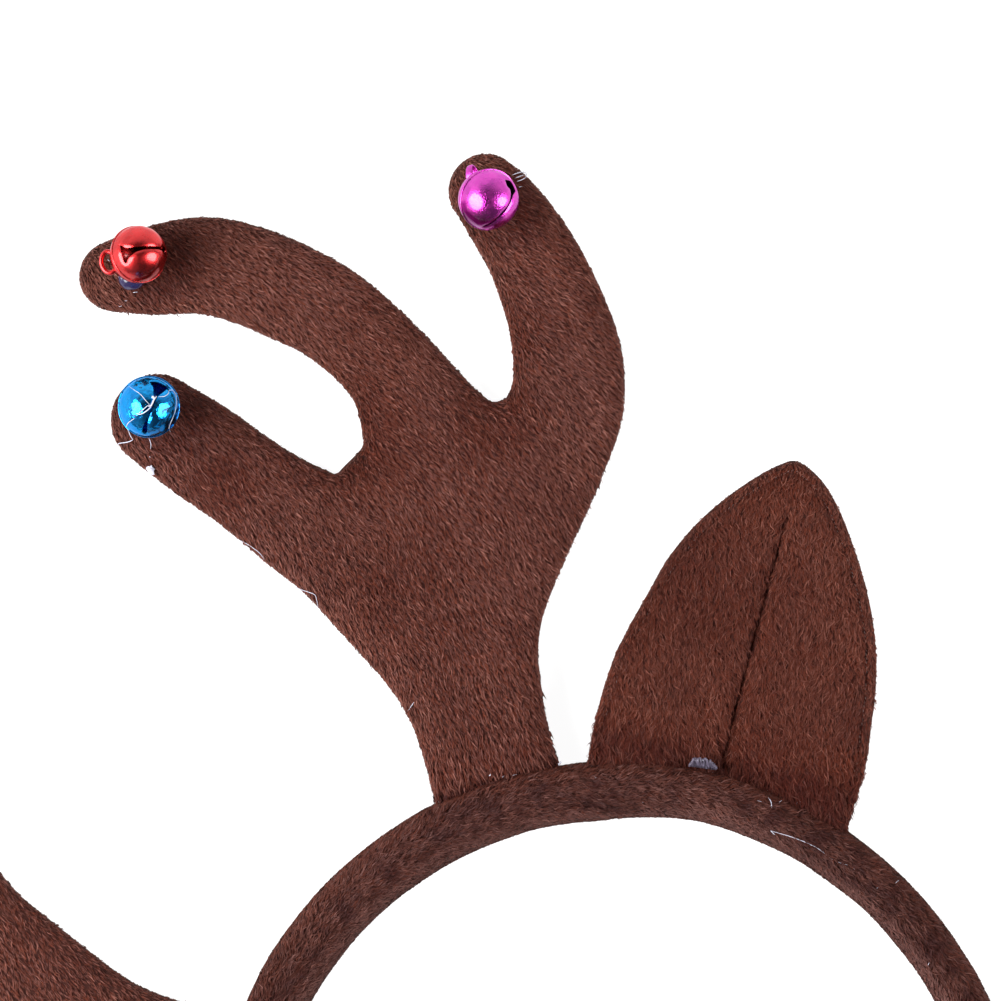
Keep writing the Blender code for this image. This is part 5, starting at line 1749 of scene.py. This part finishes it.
# -- stitches along the ears' margins
def stitch_row():
    edge = resample(ear_side(BAND_OUTER_R, EAR_SKIN_IN + 1.62 * MM), 0.72 * MM)
    rng = np.random.default_rng(77)
    parts, start = ([], []), 0
    for i in range(1, len(edge) - 1):
        a, b = edge[i], edge[i + 1]
        if rng.random() < 0.12:
            continue
        d = unit((b - a)[None])[0]
        side = np.array([-d[1], d[0]])
        c = a + side * (rng.random() - 0.5) * 0.12 * MM
        pts = []
        for f in (-0.5, -0.25, 0.0, 0.25, 0.5):
            q = c + d * f * 0.5 * MM + side * 0.05 * MM * math.sin(5 * f)
            dist = polyline_distance(q[None], ear_edge)
            mid, half, shape, _ = ear_heights(q[None], dist)
            pts.append((q[0], q[1], float((mid + half + shape)[0]) + (0.26 - 0.9 * f * f) * MM))
        v, t = tube(np.array(pts), 0.065 * MM, 5, taper=0.4)
        parts[0].append(v)
        parts[1].append(t + start)
        start += len(v)
    v = moved(np.vstack(parts[0]), M_EAR)
    return v, np.vstack(parts[1])


put_pair("ear_stitches", stitch_row(), STITCH)


# ------------------------------------------------------------ floor and lights
def stage():
    s = 6.0
    mesh = bpy.data.meshes.new("floor")
    mesh.from_pydata([(-s, -s, 0), (s, -s, 0), (s, s, 0), (-s, s, 0)], [], [(0, 1, 2, 3)])
    m = Nodes("floor_paper")
    m.put(Roughness=0.9, Specular_IOR_Level=0.1, Emission_Strength=0.94)
    m.shader.inputs["Base Color"].default_value = (0.22, 0.22, 0.22, 1.0)
    m.shader.inputs["Emission Color"].default_value = (1.0, 1.0, 1.0, 1.0)
    add_object("floor", mesh, m.mat)

    world = bpy.data.worlds.new("studio")
    bpy.context.scene.world = world
    world.use_nodes = True
    tree = world.node_tree
    back = tree.nodes["Background"]
    coord = tree.nodes.new("ShaderNodeTexCoord")
    xyz = tree.nodes.new("ShaderNodeSeparateXYZ")
    ramp = tree.nodes.new("ShaderNodeValToRGB")
    tree.links.new(coord.outputs["Generated"], xyz.inputs[0])
    tree.links.new(xyz.outputs["Z"], ramp.inputs["Fac"])
    # brighter from the top left of the picture than from the bottom right
    dot = tree.nodes.new("ShaderNodeVectorMath")
    dot.operation = "DOT_PRODUCT"
    tree.links.new(coord.outputs["Generated"], dot.inputs[0])
    dot.inputs[1].default_value = IMAGE_UP * 0.85 - IMAGE_RIGHT * 0.5
    gain = tree.nodes.new("ShaderNodeMapRange")
    gain.inputs["From Min"].default_value = -0.9
    gain.inputs["From Max"].default_value = 0.9
    gain.inputs["To Min"].default_value = 0.20
    gain.inputs["To Max"].default_value = 1.45
    tree.links.new(dot.outputs["Value"], gain.inputs["Value"])
    tree.links.new(gain.outputs["Result"], back.inputs["Strength"])
    stops = [(0.0, 0.85), (0.35, 0.90), (0.64, 0.60), (0.86, 0.22), (1.0, 0.05)]
    e = ramp.color_ramp.elements
    for pos, value in stops[1:-1]:
        e.new(pos)
    for i, (pos, value) in enumerate(stops):
        e[i].color = (value, value, value * 1.01, 1.0)
    tree.links.new(ramp.outputs["Color"], back.inputs["Color"])

    target = Vector((0.06, 0.04, 0.0))
    for name, right, up, high, size, glow in (
            ("softbox_left", -0.93, -0.18, 0.76, (1.12, 1.17), 9.0),
            ("softbox_right", 0.95, -0.12, 0.55, (0.66, 0.80), 9.0)):
        light = bpy.data.lights.new(name, "AREA")
        light.shape = "ELLIPSE"
        light.size, light.size_y = size
        light.energy = glow * math.pi * size[0] * size[1]
        obj = bpy.data.objects.new(name, light)
        bpy.context.scene.collection.objects.link(obj)
        obj.location = target + IMAGE_RIGHT * right + IMAGE_UP * up + Vector((0, 0, high))
        obj.rotation_euler = (target - obj.location).to_track_quat("-Z", "Y").to_euler()
        obj.visible_camera = False

    camera = bpy.data.cameras.new("camera")
    camera.sensor_width = 36.0
    distance = 1.8
    camera.lens = 36.0 * distance / (1001 * PHOTO_MM * MM)
    camera.clip_start, camera.clip_end = 0.05, 50.0
    obj = bpy.data.objects.new("camera", camera)
    bpy.context.scene.collection.objects.link(obj)
    x, y = photo_xy(500.5, 500.5)
    obj.location = (x, y, 0.007 + distance)
    obj.rotation_euler = (0.0, 0.0, math.atan2(IMAGE_RIGHT.y, IMAGE_RIGHT.x))
    bpy.context.scene.camera = obj
    bpy.context.scene.view_settings.view_transform = "Standard"
    bpy.context.scene.view_settings.look = "None"


stage()
